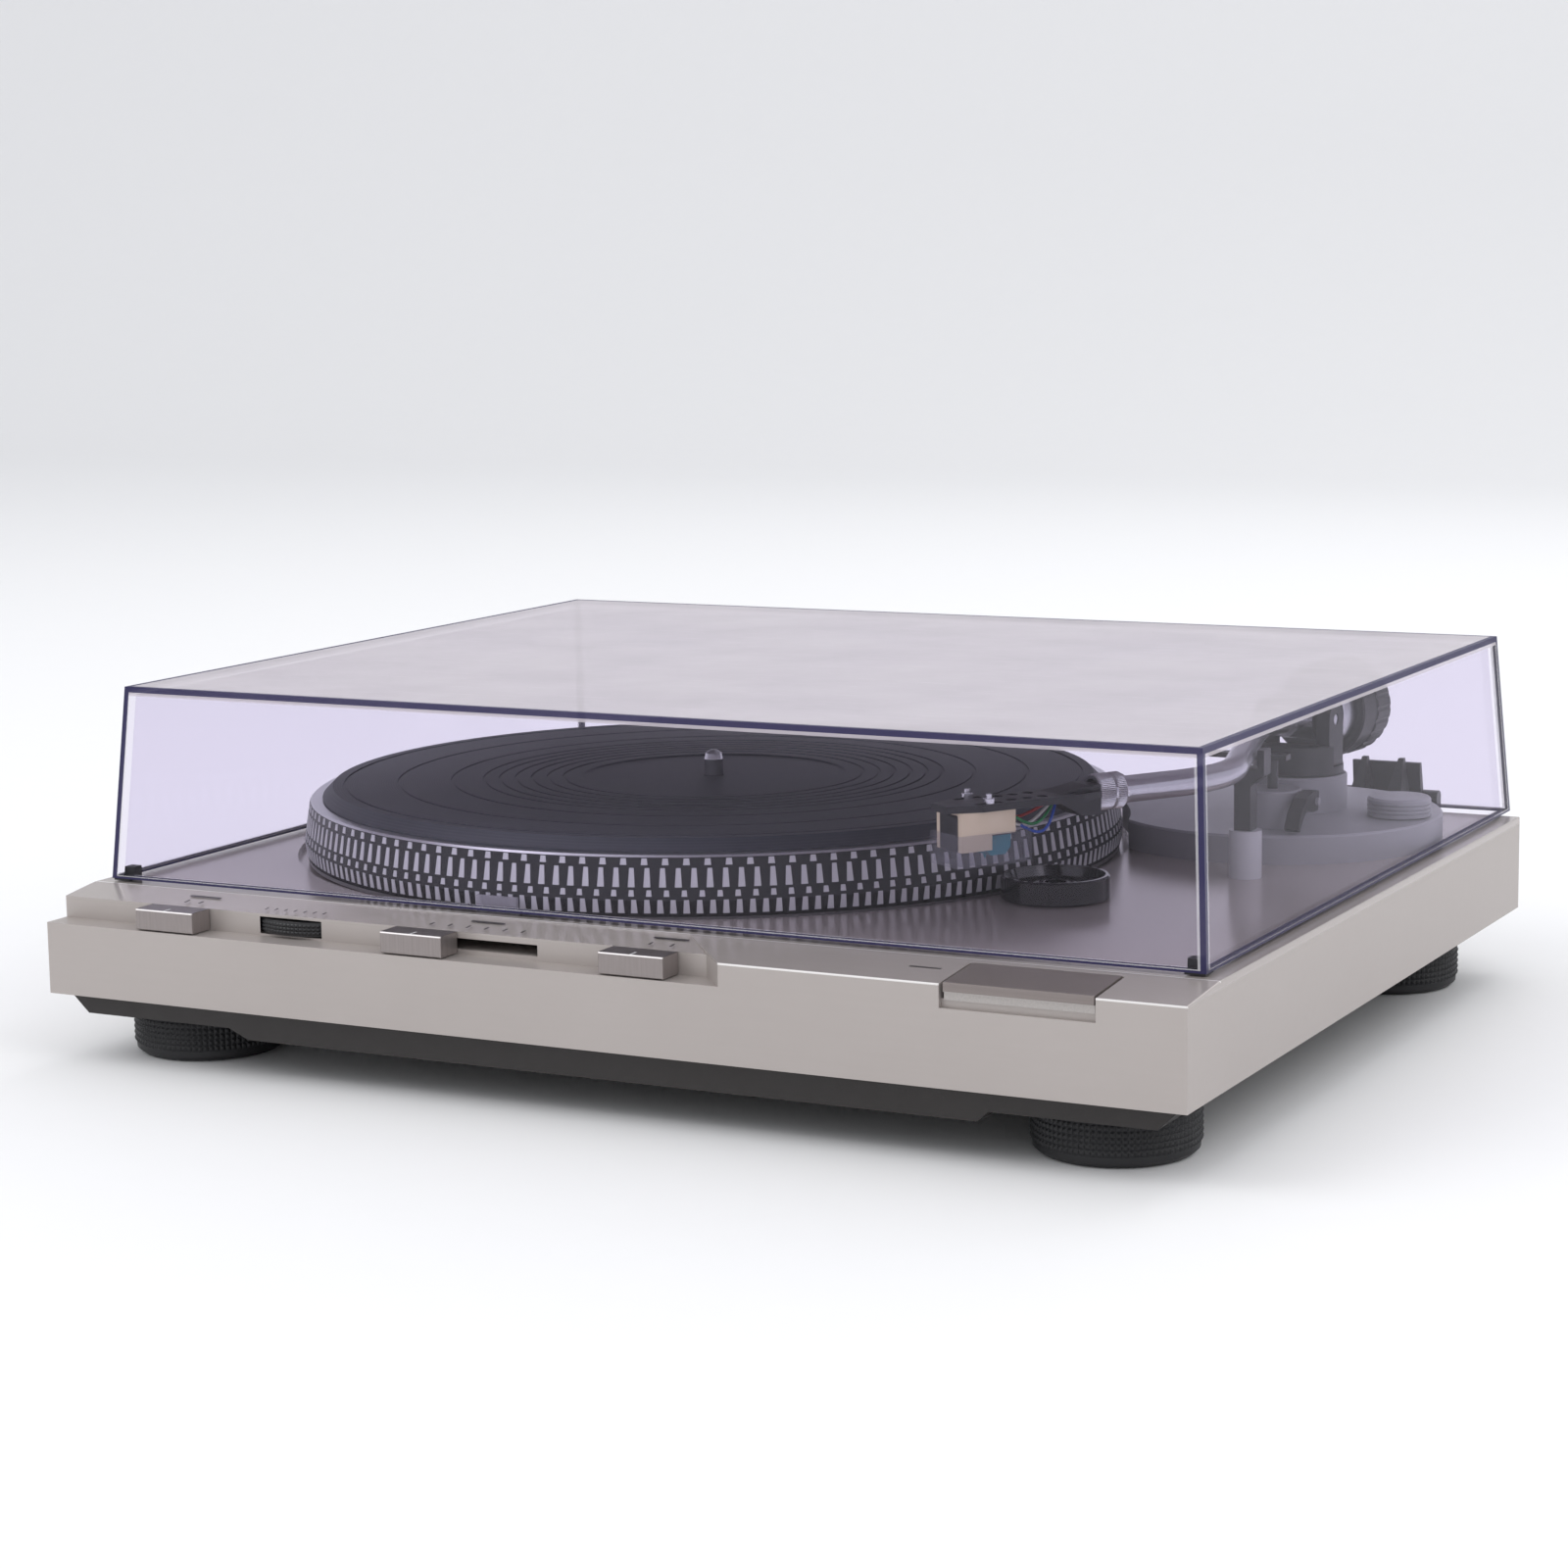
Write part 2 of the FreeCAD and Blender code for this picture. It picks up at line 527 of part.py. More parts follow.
def make_arm_base():
    """Round platform, bearing tower, cue lift with its lever, arm rest and anti-skate dial."""
    radius, low, top = D["platform_radius"], D["deck_height"], D["platform_top"]
    platform = turned("arm_platform_disc", [(0, low), (radius, low), (radius, top - 0.8),
                                            (radius - 0.8, top), (0, top)],
                      "dims.platform_x", "dims.platform_y")
    beside_platter = cylinder("platter_clearance", "dims.well_radius", 30, "dims.platter_x", "dims.platter_y",
                              "dims.deck_height - 10")
    shaft_hole = cylinder("platform_shaft_hole", "dims.yaw_shaft_radius + 1", 30, "dims.arm_x", "dims.arm_y",
                          "dims.deck_height - 10")
    axle_hole = cylinder("platform_axle_hole", "3 + dims.running_fit", 20, "dims.dial_x", "dims.dial_y",
                         "dims.platform_top - 5")
    keep(cut("arm_platform", platform, group("platform_cuts", [beside_platter, shaft_hole, axle_hole])))

    tower, tower_top = D["tower_radius"], D["tower_top"]
    bore = D["yaw_shaft_radius"] + D["running_fit"]
    keep(turned("arm_tower", [(bore, top), (tower, top), (tower, tower_top - 0.6), (tower - 0.6, tower_top),
                              (bore, tower_top)], "dims.arm_x", "dims.arm_y"))

    rod_bore, lift_radius, lift_top = 2.0 + D["running_fit"], 10.5, 84.0
    lift = turned("lift_cylinder_drum", [(0, top), (lift_radius, top), (lift_radius, lift_top - 0.6),
                                         (lift_radius - 0.6, lift_top), (rod_bore, lift_top), (rod_bore, 72),
                                         (0, 72)], "dims.lift_x", "dims.lift_y")
    pin = cylinder("lift_lever_pin", 1.5, 10, "dims.lift_x + 8", "dims.lift_y", LEVER_PIN_HEIGHT, ALONG_X)
    keep(fuse("lift_cylinder", [lift, pin]))
    rod = cylinder("lift_rod", 2, 22.4, "dims.lift_x", "dims.lift_y", 72.6)
    plate = box("lift_plate", 30, 5, 2, "dims.lift_x - 24", "dims.lift_y - 2.5", 94.6)
    keep(fuse("lift_platform", [rod, plate]))
    keep(make_cue_lever())

    keep(cylinder("rest_base", 5.8, 17, "dims.rest_x", "dims.rest_y", "dims.deck_height"))
    cradle = [(-3, 77), (3, 77), (3, 93), (8, 97), (8, 106), (5.6, 106), (5.6, 99.4), (-5.6, 99.4),
              (-5.6, 97), (-3, 93)]
    post = padded("rest_post", "XZ_Plane", cradle, 7, midplane=True)
    keep(seat(post, "dims.rest_x", "dims.rest_y", 0))

    rib_outline = [(0, top + 0.4), (11.7, top + 0.4)]
    for rib in range(3):
        height = top + 1.6 + 1.5 * rib
        rib_outline += [(11.7, height), (11.2, height + 0.25), (11.2, height + 0.5), (11.7, height + 0.75)]
    rib_outline += [(11.7, top + 6.6), (10.9, top + 7.4), (0, top + 7.4)]
    dial = turned("anti_skate_drum", rib_outline, "dims.dial_x", "dims.dial_y")
    axle = cylinder("anti_skate_axle", 3, 4, "dims.dial_x", "dims.dial_y", "dims.platform_top - 3.5")
    keep(fuse("anti_skate_dial", [dial, axle]))


def make_cue_lever():
    """A flat curved lever on a hub, its handle sweeping forwards and down."""
    outline = [(3, 3.6), (-4, 4.0), (-10, 2.4), (-16, -1.6), (-20, -7.4), (-18, -8.6), (-14.4, -4.6),
               (-9, -1.4), (-4, -3.4), (2, -3.4)]
    blade = padded("cue_lever_blade", "YZ_Plane", outline, 5.4)
    seat(blade, "dims.lift_x + 11.4", "dims.lift_y", LEVER_PIN_HEIGHT)
    bore = cylinder("cue_lever_bore", "1.5 + dims.running_fit", 12, "dims.lift_x + 10", "dims.lift_y",
                    LEVER_PIN_HEIGHT,
                    ALONG_X)
    return cut("cue_lever", blade, bore)


# ---------------------------------------------------------------- tonearm

def make_gimbal():
    """Yoke on a vertical shaft; the pivot block rocks on pins between its two cheeks."""
    axis = D["arm_axis_height"]
    base_low, base_top = D["tower_top"] + 0.5, D["tower_top"] + 3.4
    base = cylinder("yoke_base", 17, base_top - base_low, "dims.arm_x", "dims.arm_y", base_low)
    skirt_round = cylinder("yoke_skirt_round", 17, 95 - base_top, "dims.arm_x", "dims.arm_y", base_top)
    skirt_half = box("yoke_skirt_half", 20, 40, 95 - base_top, 0, 0, 0)
    arm_seat(skirt_half, 4, -20, base_top)
    skirt = doc.addObject("Part::Common", "yoke_skirt")
    skirt.Base = skirt_round
    skirt.Tool = skirt_half
    parts = [base, skirt]
    for name, across in (("left", 10.4), ("right", -15.6)):
        cheek = box(f"yoke_cheek_{name}", 12, 5.2, axis - base_top + 0.2, 0, 0, 0)
        parts.append(arm_seat(cheek, -6, across, base_top - 0.2))
        crown = cylinder(f"yoke_crown_{name}", 6, 5.2, 0, 0, 0)
        parts.append(arm_seat(crown, 0, across, turn=ALONG_Y))
    blank = fuse("yoke_blank", parts)
    bore = cylinder("yoke_bore", "2 + dims.running_fit", 40, 0, 0, 0)
    arm_seat(bore, 0, -20, turn=ALONG_Y)
    keep(cut("gimbal_yoke", blank, bore))
    keep(cylinder("yaw_shaft", "dims.yaw_shaft_radius", base_low - 50, "dims.arm_x", "dims.arm_y", 50))

    drum = arm_seat(cylinder("pivot_drum", 8, 19, 0, 0, 0), 0, -9.5, turn=ALONG_Y)
    pins = arm_seat(cylinder("pivot_pins", 2, 30.6, 0, 0, 0), 0, -15.3, turn=ALONG_Y)
    nose = arm_seat(cylinder("pivot_nose", 6, 13, 0, 0, 0), 0, turn=ALONG_X)
    keep(fuse("pivot_block", [drum, pins, nose]))
    stub_length = 46
    stub = arm_seat(cylinder("stub_rod", 4, stub_length, 0, 0, 0), -stub_length, turn=ALONG_X)
    keep(cut("rear_stub", stub, drum))


def make_counterweight():
    """Turned dial ring with a scalloped weight behind it, both free to turn on the rear stub."""
    bore = 4 + D["running_fit"]
    backwards = Rotation(Vector(0, 1, 0), -90)
    dial = turned("pressure_dial", [(bore, 9), (14.4, 9), (15, 9.6), (15, 20), (bore, 20)])
    keep(arm_seat(dial, turn=backwards))
    weight = turned("weight_drum", [(bore, 20), (17.4, 20), (18, 20.6), (18, 31), (18.6, 31.6), (18.6, 42.4),
                                    (17.8, 43.4), (bore, 43.4)])
    arm_seat(weight, turn=backwards)
    scallops = []
    count = 24
    for index in range(count):
        angle = 2 * math.pi * index / count
        tooth = cylinder(f"weight_scallop_{index}", 1.3, 13, 0, 0, 0)
        across, up = 19.4 * math.cos(angle), 19.4 * math.sin(angle)
        arm_seat(tooth, -31, across, f"dims.arm_axis_height + {up}", backwards)
        scallops.append(tooth)
    keep(cut("counterweight", weight, fuse("weight_scallops", scallops)))


def bend(before, corner, after, radius):
    """Tangent points and middle point of the arc that rounds a corner of the tube's centre line."""
    back, ahead = before - corner, after - corner
    back.normalize()
    ahead.normalize()
    half_angle = back.getAngle(ahead) / 2
    reach = radius / math.tan(half_angle)
    inward = back + ahead
    inward.normalize()
    centre = corner + inward * (radius / math.sin(half_angle))
    return corner + back * reach, centre - inward * radius, corner + ahead * reach


def make_arm_tube():
    """The S-shaped tube: straight runs joined by two arcs, from the pivot to inside the collar."""
    height = D["arm_axis_height"]

    def plan(point):
        return Vector(point[0], point[1] + FRONT, height)

    collar_back = D["collar_start"] + D["collar_length"]
    start = plan(arm_point(8.5))
    first_bend = plan(arm_point(34))
    second_bend = plan(shell_point(-collar_back - 44))
    finish = plan(shell_point(-D["collar_start"] - 3))
    a_in, a_mid, a_out = bend(start, first_bend, second_bend, 70)
    b_in, b_mid, b_out = bend(first_bend, second_bend, finish, 52)
    path = Part.Wire([
        Part.LineSegment(start, a_in).toShape(), Part.Arc(a_in, a_mid, a_out).toShape(),
        Part.LineSegment(a_out, b_in).toShape(), Part.Arc(b_in, b_mid, b_out).toShape(),
        Part.LineSegment(b_out, finish).toShape()])
    section = Part.Wire(Part.Circle(start, first_bend - start, D["tube_radius"]).toShape())
    tube = doc.addObject("Part::Feature", "arm_tube_solid")
    tube.Shape = path.makePipeShell([section], True, True)
    keep(cut("arm_tube", tube, doc.getObject("pivot_block")))


def make_headshell():
    """Perforated plate with a deep neck and a round spigot that the collar locks."""
    back = -D["collar_start"]
    body = new_body("headshell")
    plate = new_sketch(body, "shell_plate", "XY_Plane", -0.9)
    draw_outline(plate, [(back, -6), (-33, -8.6), (6, -8.6), (17.5, -4.6), (17.5, 4.6), (6, 8.6),
                         (-33, 8.6), (back, 6)])
    pad(body, "shell_plate_pad", plate, 2.4)
    neck = new_sketch(body, "shell_neck", "XZ_Plane")
    draw_outline(neck, [(back, -6.4), (back + 7, -6.4), (back + 17, -0.8), (back + 17, 1.4), (back + 4, 3.4),
                        (back, 3.4)])
    pad(body, "shell_neck_pad", neck, 11, midplane=True)
    spigot = new_sketch(body, "shell_spigot", "YZ_Plane", back)
    draw_circle(spigot, 0, 0, 3.9)
    pad(body, "shell_spigot_pad", spigot, 2.6, backwards=True)
    holes = new_sketch(body, "shell_holes", "XY_Plane", 6)
    for along in (-7.5, -13.5, -19.5):
        for across in (-4.2, 4.2):
            draw_circle(holes, along, across, 1.9)
    pocket(body, "shell_holes_cut", holes, 12)
    slots = new_sketch(body, "shell_slots", "XY_Plane", 6)
    for across in (-6.35, 6.35):
        draw_rectangle(slots, -2.5, across - 1.25, 7.5, across + 1.25)
    pocket(body, "shell_slots_cut", slots, 12)
    keep(shell_seat(body))

    collar_back = D["collar_start"] + D["collar_length"]
    reach = D["collar_length"] - 0.3
    bore = D["tube_radius"] + D["running_fit"]
    ring = turned("lock_collar", [(bore, 0), (5.4, 0), (5.4, 1), (6.2, 1.4), (6.2, 4.4), (5.8, 4.8),
                                  (5.8, 5.6),
                                  (6.2, 6), (6.2, reach - 0.6), (5.7, reach), (bore, reach)])
    keep(shell_seat(ring, -collar_back, turn=ALONG_X))


def make_cartridge():
    """Cartridge body, stylus assembly, clear guard and the two mounting screws."""
    axis, tip = D["arm_axis_height"], D["stylus_height"]
    plate_low, plate_top = axis - 0.9, axis + 1.5
    body_low, teal_low = 91.0, 88.6
    blank = box("cartridge_blank", 20.5, 15, plate_low - body_low, 0, 0, 0)
    shell_seat(blank, -7, -7.5, body_low)
    notch = box("cartridge_notch", 10, 16, 6, 0, 0, 0)
    shell_seat(notch, -8, -8, body_low - 1)
    shaped = cut("cartridge_shaped", blank, notch)
    wells = []
    screws = []
    for name, across in (("left", 6.35), ("right", -6.35)):
        well = cylinder(f"cartridge_screw_hole_{name}", 1.1, 20, 0, 0, 0)
        wells.append(shell_seat(well, 2.5, across, body_low - 2))
        shank = shell_seat(cylinder(f"screw_shank_{name}", 1.1, 11, 0, 0, 0), 2.5, across, plate_top - 8)
        head = shell_seat(cylinder(f"screw_head_{name}", 2.0, 1.6, 0, 0, 0), 2.5, across, plate_top)
        screws.append(fuse(f"cartridge_screw_{name}", [shank, head]))
    keep(cut("cartridge_body", shaped, fuse("cartridge_wells", wells)))
    keep(group("cartridge_screws", screws))

    holder = padded("stylus_block", "XZ_Plane", [(-7, 96), (2, 96), (2, 90), (0.6, teal_low), (-5, teal_low),
                                                 (-7, 91)], 9, midplane=True)
    shell_seat(holder, z=0)
    point = primitive("Part::Cone", "stylus_point", {"Radius1": 0.2, "Radius2": 0.7,
                                                     "Height": teal_low - tip + 0.2})
    shell_seat(point, 0, 0, tip)
    keep(fuse("stylus_holder", [holder, point]))

    guard_low, guard_top = D["mat_top"] + 0.5, 96.5
    outside = shell_seat(box("guard_outside", 28, 17.2, guard_top - guard_low, 0, 0, 0), -12.5, -8.6,
                         guard_low)
    inside = shell_seat(box("guard_inside", 26, 15.8, 20, 0, 0, 0), -11.7, -7.9, guard_low + 0.6)
    keep(cut("stylus_guard", outside, inside))


# ---------------------------------------------------------------- controls and loose adapter

def make_controls():
    """Three sliding selectors, the pitch thumbwheel with its potentiometer, and the start key."""
    carriage_back = D["bevel_depth"] + 6
    for name, x in (("speed_selector", "dims.speed_knob_x"), ("repeat_selector", "dims.repeat_knob_x"),
                    ("size_selector", "dims.size_knob_x")):
        grip = box(f"{name}_grip", "dims.knob_width", "dims.knob_depth", "dims.knob_height",
                   f"{x} - dims.knob_width / 2", 0.3, "dims.recess_floor + 0.4")
        doc.recompute()
        front_edges = [i + 1 for i, edge in enumerate(grip.Shape.Edges)
                       if abs(edge.BoundBox.YMax - (FRONT + 0.3)) < 0.01]
        soft = rounded(f"{name}_soft", grip, 0.5, front_edges)
        stem = box(f"{name}_stem", 6, carriage_back - 9, 2.6, f"{x} - 3", 9, SLOT_LOW + 0.6)
        carriage = box(f"{name}_carriage", 12, 4, 8, f"{x} - 6", carriage_back - 4, SLOT_LOW - 4)
        keep(fuse(name, [soft, stem, carriage]))

    wheel_low, wheel_high, radius = 51.1, 56.0, D["wheel_radius"]
    wheel = turned("pitch_wheel_disc", [(0, wheel_low), (radius - 0.4, wheel_low), (radius, wheel_low + 0.4),
                                        (radius, wheel_high - 0.4), (radius - 0.4, wheel_high),
                                        (0, wheel_high)], "dims.wheel_x", "dims.wheel_y")
    shaft = cylinder("pitch_wheel_shaft", 3, wheel_low - 40, "dims.wheel_x", "dims.wheel_y", 40)
    keep(fuse("pitch_wheel", [wheel, shaft]))
    bore = 3 + D["running_fit"]
    keep(turned("pitch_potentiometer", [(0, 37.6), (9, 37.6), (9, 45.6), (bore, 45.6), (bore, 39.6),
                                        (0, 39.6)],
                "dims.wheel_x", "dims.wheel_y"))

    middle = (D["key_left"] + D["key_right"]) / 2
    key_outline = [(0.3, 55.2), (0.3, 57.8), (0.8, 58.2), (D["key_depth"], 60.0), (D["key_depth"], 56.6),
                   (3, 55.2), (1.8, 55.2), (1.8, 52.5), (1.2, 52.5), (1.2, 55.2)]
    plate = padded("start_key_plate", "YZ_Plane", key_outline, "dims.key_right - dims.key_left",
                   middle, midplane=True)
    seat(plate)
    stem = cylinder("start_key_stem", 3, 14.5, middle, 12, 42)
    keep(fuse("start_button", [plate, stem]))

    radius, base = D["adapter_radius"], D["deck_height"] + 0.3
    keep(turned("ep_adapter", [(3.7, base), (radius - 0.4, base), (radius, base + 0.4), (radius, base + 7.6),
                               (radius - 0.6, base + 8.2), (radius - 1.6, base + 8.2), (radius - 2.8,
                                                                                        base + 4.6),
                               (9, base + 3.2), (7.2, base + 5.4), (3.7, base + 5.4)],
                "dims.adapter_x", "dims.adapter_y"))


# ---------------------------------------------------------------- inside and rear

def make_inside():
    """Transformer and circuit board on the tray, the strobe prism and the rear fittings."""
    tray_floor = D["tray_belly"] + 2.5
    keep(box("power_transformer", 54, 46, 30, 70, 262, tray_floor))
    keep(box("control_board", 236, 62, 1.6, -188, 34, 36))
    pillars = []
    for index, x in enumerate((-125, 30)):
        for row, y in enumerate((42, 88)):
            pillars.append(cylinder(f"pillar_{index}_{row}", 3, 36 - tray_floor, x, y, tray_floor))
    keep(group("board_pillars", pillars))
    keep(box("strobe_prism", 16, 1.4, 8, -57, 34.7, "dims.deck_height - dims.well_depth"))

    rear_face = D["cabinet_depth"]
    for name, (x, radius) in zip(("mains_gland", "phono_gland"), REAR_HOLES):
        outline = [(2.5, -6), (radius - 0.1, -6), (radius - 0.1, 0), (radius + 2, 0), (radius + 1.4, 3),
                   (radius - 1, 6), (2.5, 6)]
        keep(turned(name, outline, x, rear_face, REAR_HOLE_HEIGHT, ALONG_Y))
    x, radius = REAR_HOLES[2]
    keep(turned("ground_terminal", [(0, -6), (radius - 0.05, -6), (radius - 0.05, 0), (5, 0), (5, 3.4),
                                    (4.4, 4),
                                    (0, 4)], x, rear_face, REAR_HOLE_HEIGHT, ALONG_Y))


make_cabinet()
make_tray()
make_feet()
make_platter()
make_lid()
make_hinge_brackets()
make_arm_base()
make_gimbal()
make_counterweight()
make_arm_tube()
make_headshell()
make_cartridge()
make_controls()
make_inside()
doc.recompute()

for obj in doc.Objects:
    if "Invalid" in obj.State or "Error" in obj.State:
        raise RuntimeError(f"{obj.Label} failed: {obj.State}")
os.makedirs("parts", exist_ok=True)
for node in nodes:
    if node.Shape.isNull() or not node.Shape.isValid():
        raise RuntimeError(f"{node.Label} has no valid shape")
    node.Shape.exportStep(f"parts/{node.Label}.step")
print(len(nodes), "sub-parts written")
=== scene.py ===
import json
import math

import bmesh
import bpy
import numpy as np
from mathutils import Matrix, Vector


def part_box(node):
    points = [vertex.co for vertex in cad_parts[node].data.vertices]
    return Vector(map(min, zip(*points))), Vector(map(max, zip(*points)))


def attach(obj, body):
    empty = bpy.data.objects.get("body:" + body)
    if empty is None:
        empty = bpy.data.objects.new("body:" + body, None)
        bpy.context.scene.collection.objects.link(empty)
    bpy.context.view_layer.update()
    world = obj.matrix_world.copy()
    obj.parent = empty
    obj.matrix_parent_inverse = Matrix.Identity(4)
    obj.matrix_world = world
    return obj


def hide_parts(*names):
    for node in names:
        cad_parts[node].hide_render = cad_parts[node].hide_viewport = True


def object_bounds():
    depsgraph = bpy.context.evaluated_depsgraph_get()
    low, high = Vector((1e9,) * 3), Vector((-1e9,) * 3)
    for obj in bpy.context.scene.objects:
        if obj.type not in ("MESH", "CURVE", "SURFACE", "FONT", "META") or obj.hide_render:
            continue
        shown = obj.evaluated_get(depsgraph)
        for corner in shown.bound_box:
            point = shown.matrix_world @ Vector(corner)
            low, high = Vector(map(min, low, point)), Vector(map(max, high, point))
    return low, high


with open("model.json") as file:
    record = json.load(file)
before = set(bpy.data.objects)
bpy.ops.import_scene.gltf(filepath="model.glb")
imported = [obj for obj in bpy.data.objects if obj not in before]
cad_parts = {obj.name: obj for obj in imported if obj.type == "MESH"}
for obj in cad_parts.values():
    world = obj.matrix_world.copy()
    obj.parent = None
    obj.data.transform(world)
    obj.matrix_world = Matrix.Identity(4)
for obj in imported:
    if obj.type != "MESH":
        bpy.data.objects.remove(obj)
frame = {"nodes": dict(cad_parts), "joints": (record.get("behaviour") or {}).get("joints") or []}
cad_low, cad_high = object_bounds()
joints = {joint["name"]: joint for joint in frame["joints"]}

MM = 0.001
FRONT_Y = cad_low.y
DECK_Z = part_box("cabinet")[1].z
BEVEL_DEPTH = 27.9 * MM
BEVEL_RISE = 2.3 * MM
GLEAM_HEAD_ON = 0.012
GLEAM_SLANTED = 0.22


def middle(node):
    """Centre of a CAD node's box, as an array."""
    low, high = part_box(node)
    return (np.array(low) + np.array(high)) / 2


# ------------------------------------------------------------------ shader maths

class Value:
    """A socket that takes part in sums; each operator adds one Math node."""

    def __init__(self, finish, socket):
        self.finish = finish
        self.socket = socket

    def maths(self, operation, *numbers):
        inputs = dict(enumerate(numbers))
        return self.finish.node("ShaderNodeMath", {"operation": operation}, inputs)

    def __add__(self, other):
        return self.maths("ADD", self, other)

    def __sub__(self, other):
        return self.maths("SUBTRACT", self, other)

    def __rsub__(self, other):
        return self.maths("SUBTRACT", other, self)

    def __mul__(self, other):
        return self.maths("MULTIPLY", self, other)

    def __pow__(self, other):
        return self.maths("POWER", self, other)

    def __gt__(self, other):
        return self.maths("GREATER_THAN", self, other)

    def __lt__(self, other):
        return self.maths("LESS_THAN", self, other)

    def __abs__(self):
        return self.maths("ABSOLUTE", self)

    def either(self, other):
        return self.maths("MAXIMUM", self, other)

    __radd__ = __add__
    __rmul__ = __mul__


class Finish:
    """One material: a Principled shader and the nodes that feed it."""

    def __init__(self, name, rough, metal=0.0, coat=0.0):
        self.material = bpy.data.materials.new(name)
        self.material.use_nodes = True
        self.tree = self.material.node_tree
        self.shader = self.tree.nodes["Principled BSDF"]
        self.shader.inputs["Roughness"].default_value = rough
        self.shader.inputs["Metallic"].default_value = metal
        self.shader.inputs["Coat Weight"].default_value = coat
        self.place = self.node("ShaderNodeTexCoord", output="Object")
        split = self.node("ShaderNodeSeparateXYZ", inputs={0: self.place}).socket.node
        self.x, self.y, self.z = (Value(self, socket) for socket in split.outputs)

    def join(self, value, socket):
        """Link a Value to a socket, or set the socket to plain numbers."""
        if isinstance(value, Value):
            self.tree.links.new(value.socket, socket)
        else:
            socket.default_value = value

    def node(self, kind, settings=None, inputs=None, output=0):
        """Add a node: settings first, then the values or links of its sockets."""
        made = self.tree.nodes.new(kind)
        for name, value in (settings or {}).items():
            setattr(made, name, value)
        for key, value in (inputs or {}).items():
            self.join(value, made.inputs[key])
        return Value(self, made.outputs[output])

    def noise(self, size, detail=3.0, stretch=(1.0, 1.0, 1.0)):
        """Soft noise from 0 to 1 whose blotches are about size metres across."""
        place = self.node("ShaderNodeMapping", inputs={"Vector": self.place, "Scale": stretch})
        return self.node("ShaderNodeTexNoise", inputs={"Vector": place, "Scale": 1.0 / size,
                                                       "Detail": detail})

    def blend(self, share, first, second):
        """Colour between two colours: first at share 0, second at share 1."""
        return self.node("ShaderNodeMix", {"data_type": "RGBA"},
                         {0: share, 6: opaque(first), 7: opaque(second)}, 2)

    def set(self, name, value):
        self.join(value, self.shader.inputs[name])

    def gleam(self):
        """Share of light mirrored by a clear wall, rising with the fifth power of the slant.

        Both shares are chosen and lie below those of real acrylic, which mirrors about 4 percent head on.
        """
        slant = self.node("ShaderNodeLayerWeight", inputs={"Blend": 0.5}, output=1)
        return GLEAM_HEAD_ON + GLEAM_SLANTED * slant ** 5.0

    def relief(self, height, depth):
        """Bump of the given depth in metres, from a height between 0 and 1."""
        bump = self.node("ShaderNodeBump", inputs={"Strength": 1.0, "Distance": depth, "Height": height})
        self.set("Normal", bump)


def opaque(colour):
    """A colour with full alpha, unless it is already a link."""
    return colour if isinstance(colour, Value) else (*colour, 1.0)


def moulded(name, colour, rough=0.5, grain=0.35 * MM, depth=0.02 * MM, shade=0.8, metal=0.0, coat=0.0):
    """Moulded, painted or cast stuff: fine grain in relief, faint clouds in its colour and gloss."""
    finish = Finish(name, rough, metal, coat)
    clouds = finish.noise(18 * MM)
    finish.set("Base Color", finish.blend(clouds, [shade * part for part in colour], colour))
    finish.set("Roughness", rough * 0.85 + rough * 0.3 * finish.noise(7 * MM))
    finish.relief(finish.noise(grain, 2.0), depth)
    return finish


def brushed(name, colour, rough, stretch, metal=1.0):
    """Metal with fine marks drawn out along one way."""
    finish = Finish(name, rough, metal)
    lines = finish.noise(1.2 * MM, 2.0, stretch)
    finish.set("Base Color", finish.blend(lines, [0.82 * part for part in colour], colour))
    finish.set("Roughness", rough * 0.8 + rough * 0.45 * lines)
    finish.relief(lines, 0.01 * MM)
    return finish


def from_axis(finish, centre):
    """Distance from an upright axis through centre."""
    across = (finish.x - float(centre[0])) ** 2.0
    back = (finish.y - float(centre[1])) ** 2.0
    return (across + back) ** 0.5


def cabinet_finish():
    """Warm silver paint, glossier on the deck, with drawn streaks and painted highlights as bright edge lines on
    the bevel.
    """
    finish = Finish("silver_paint", 0.4, 0.35)
    streaks = finish.noise(2.0 * MM, 3.0, (0.05, 1.0, 1.0))
    clouds = finish.noise(40 * MM)
    colour = finish.blend(streaks * 0.25 + clouds * 0.6, (0.415, 0.375, 0.355), (0.47, 0.43, 0.41))
    bevel_back = FRONT_Y + BEVEL_DEPTH
    # painted highlights: thin light lines where the bevel meets the deck and along the front top edge, where
    # light catches the edges
    bevel_top_highlight = (abs(finish.y - bevel_back) < 0.35 * MM) * (finish.z > DECK_Z - 0.6 * MM)
    front_edge_highlight = (finish.y < FRONT_Y + 0.5 * MM) * (finish.z > DECK_Z - 2.9 * MM)
    edge = bevel_top_highlight.either(front_edge_highlight)
    finish.set("Base Color", finish.blend(edge * 0.75, colour, (0.86, 0.84, 0.83)))
    deck = (finish.z > DECK_Z - 2.6 * MM) * (finish.y > FRONT_Y + 0.2 * MM)
    finish.set("Roughness", 0.36 - 0.19 * deck + 0.06 * clouds)
    finish.relief(finish.noise(0.5 * MM, 2.0), 0.0012 * MM)
    return finish


def platter_finish():
    """Turned alloy with a black painted band round its side."""
    finish = Finish("platter_alloy", 0.3, 0.9)
    radius = from_axis(finish, middle("platter"))
    side = (radius > 149.0 * MM) * (finish.z < 80.3 * MM) * (finish.z > 60.2 * MM)
    alloy = finish.blend(finish.noise(1.0 * MM), (0.50, 0.50, 0.52), (0.66, 0.66, 0.68))
    finish.set("Base Color", finish.blend(side, alloy, (0.012, 0.012, 0.014)))
    finish.set("Metallic", 0.9 - 0.9 * side)
    finish.set("Roughness", 0.28 + 0.14 * side)
    finish.relief(finish.noise(0.6 * MM, 2.0), 0.004 * MM)
    return finish


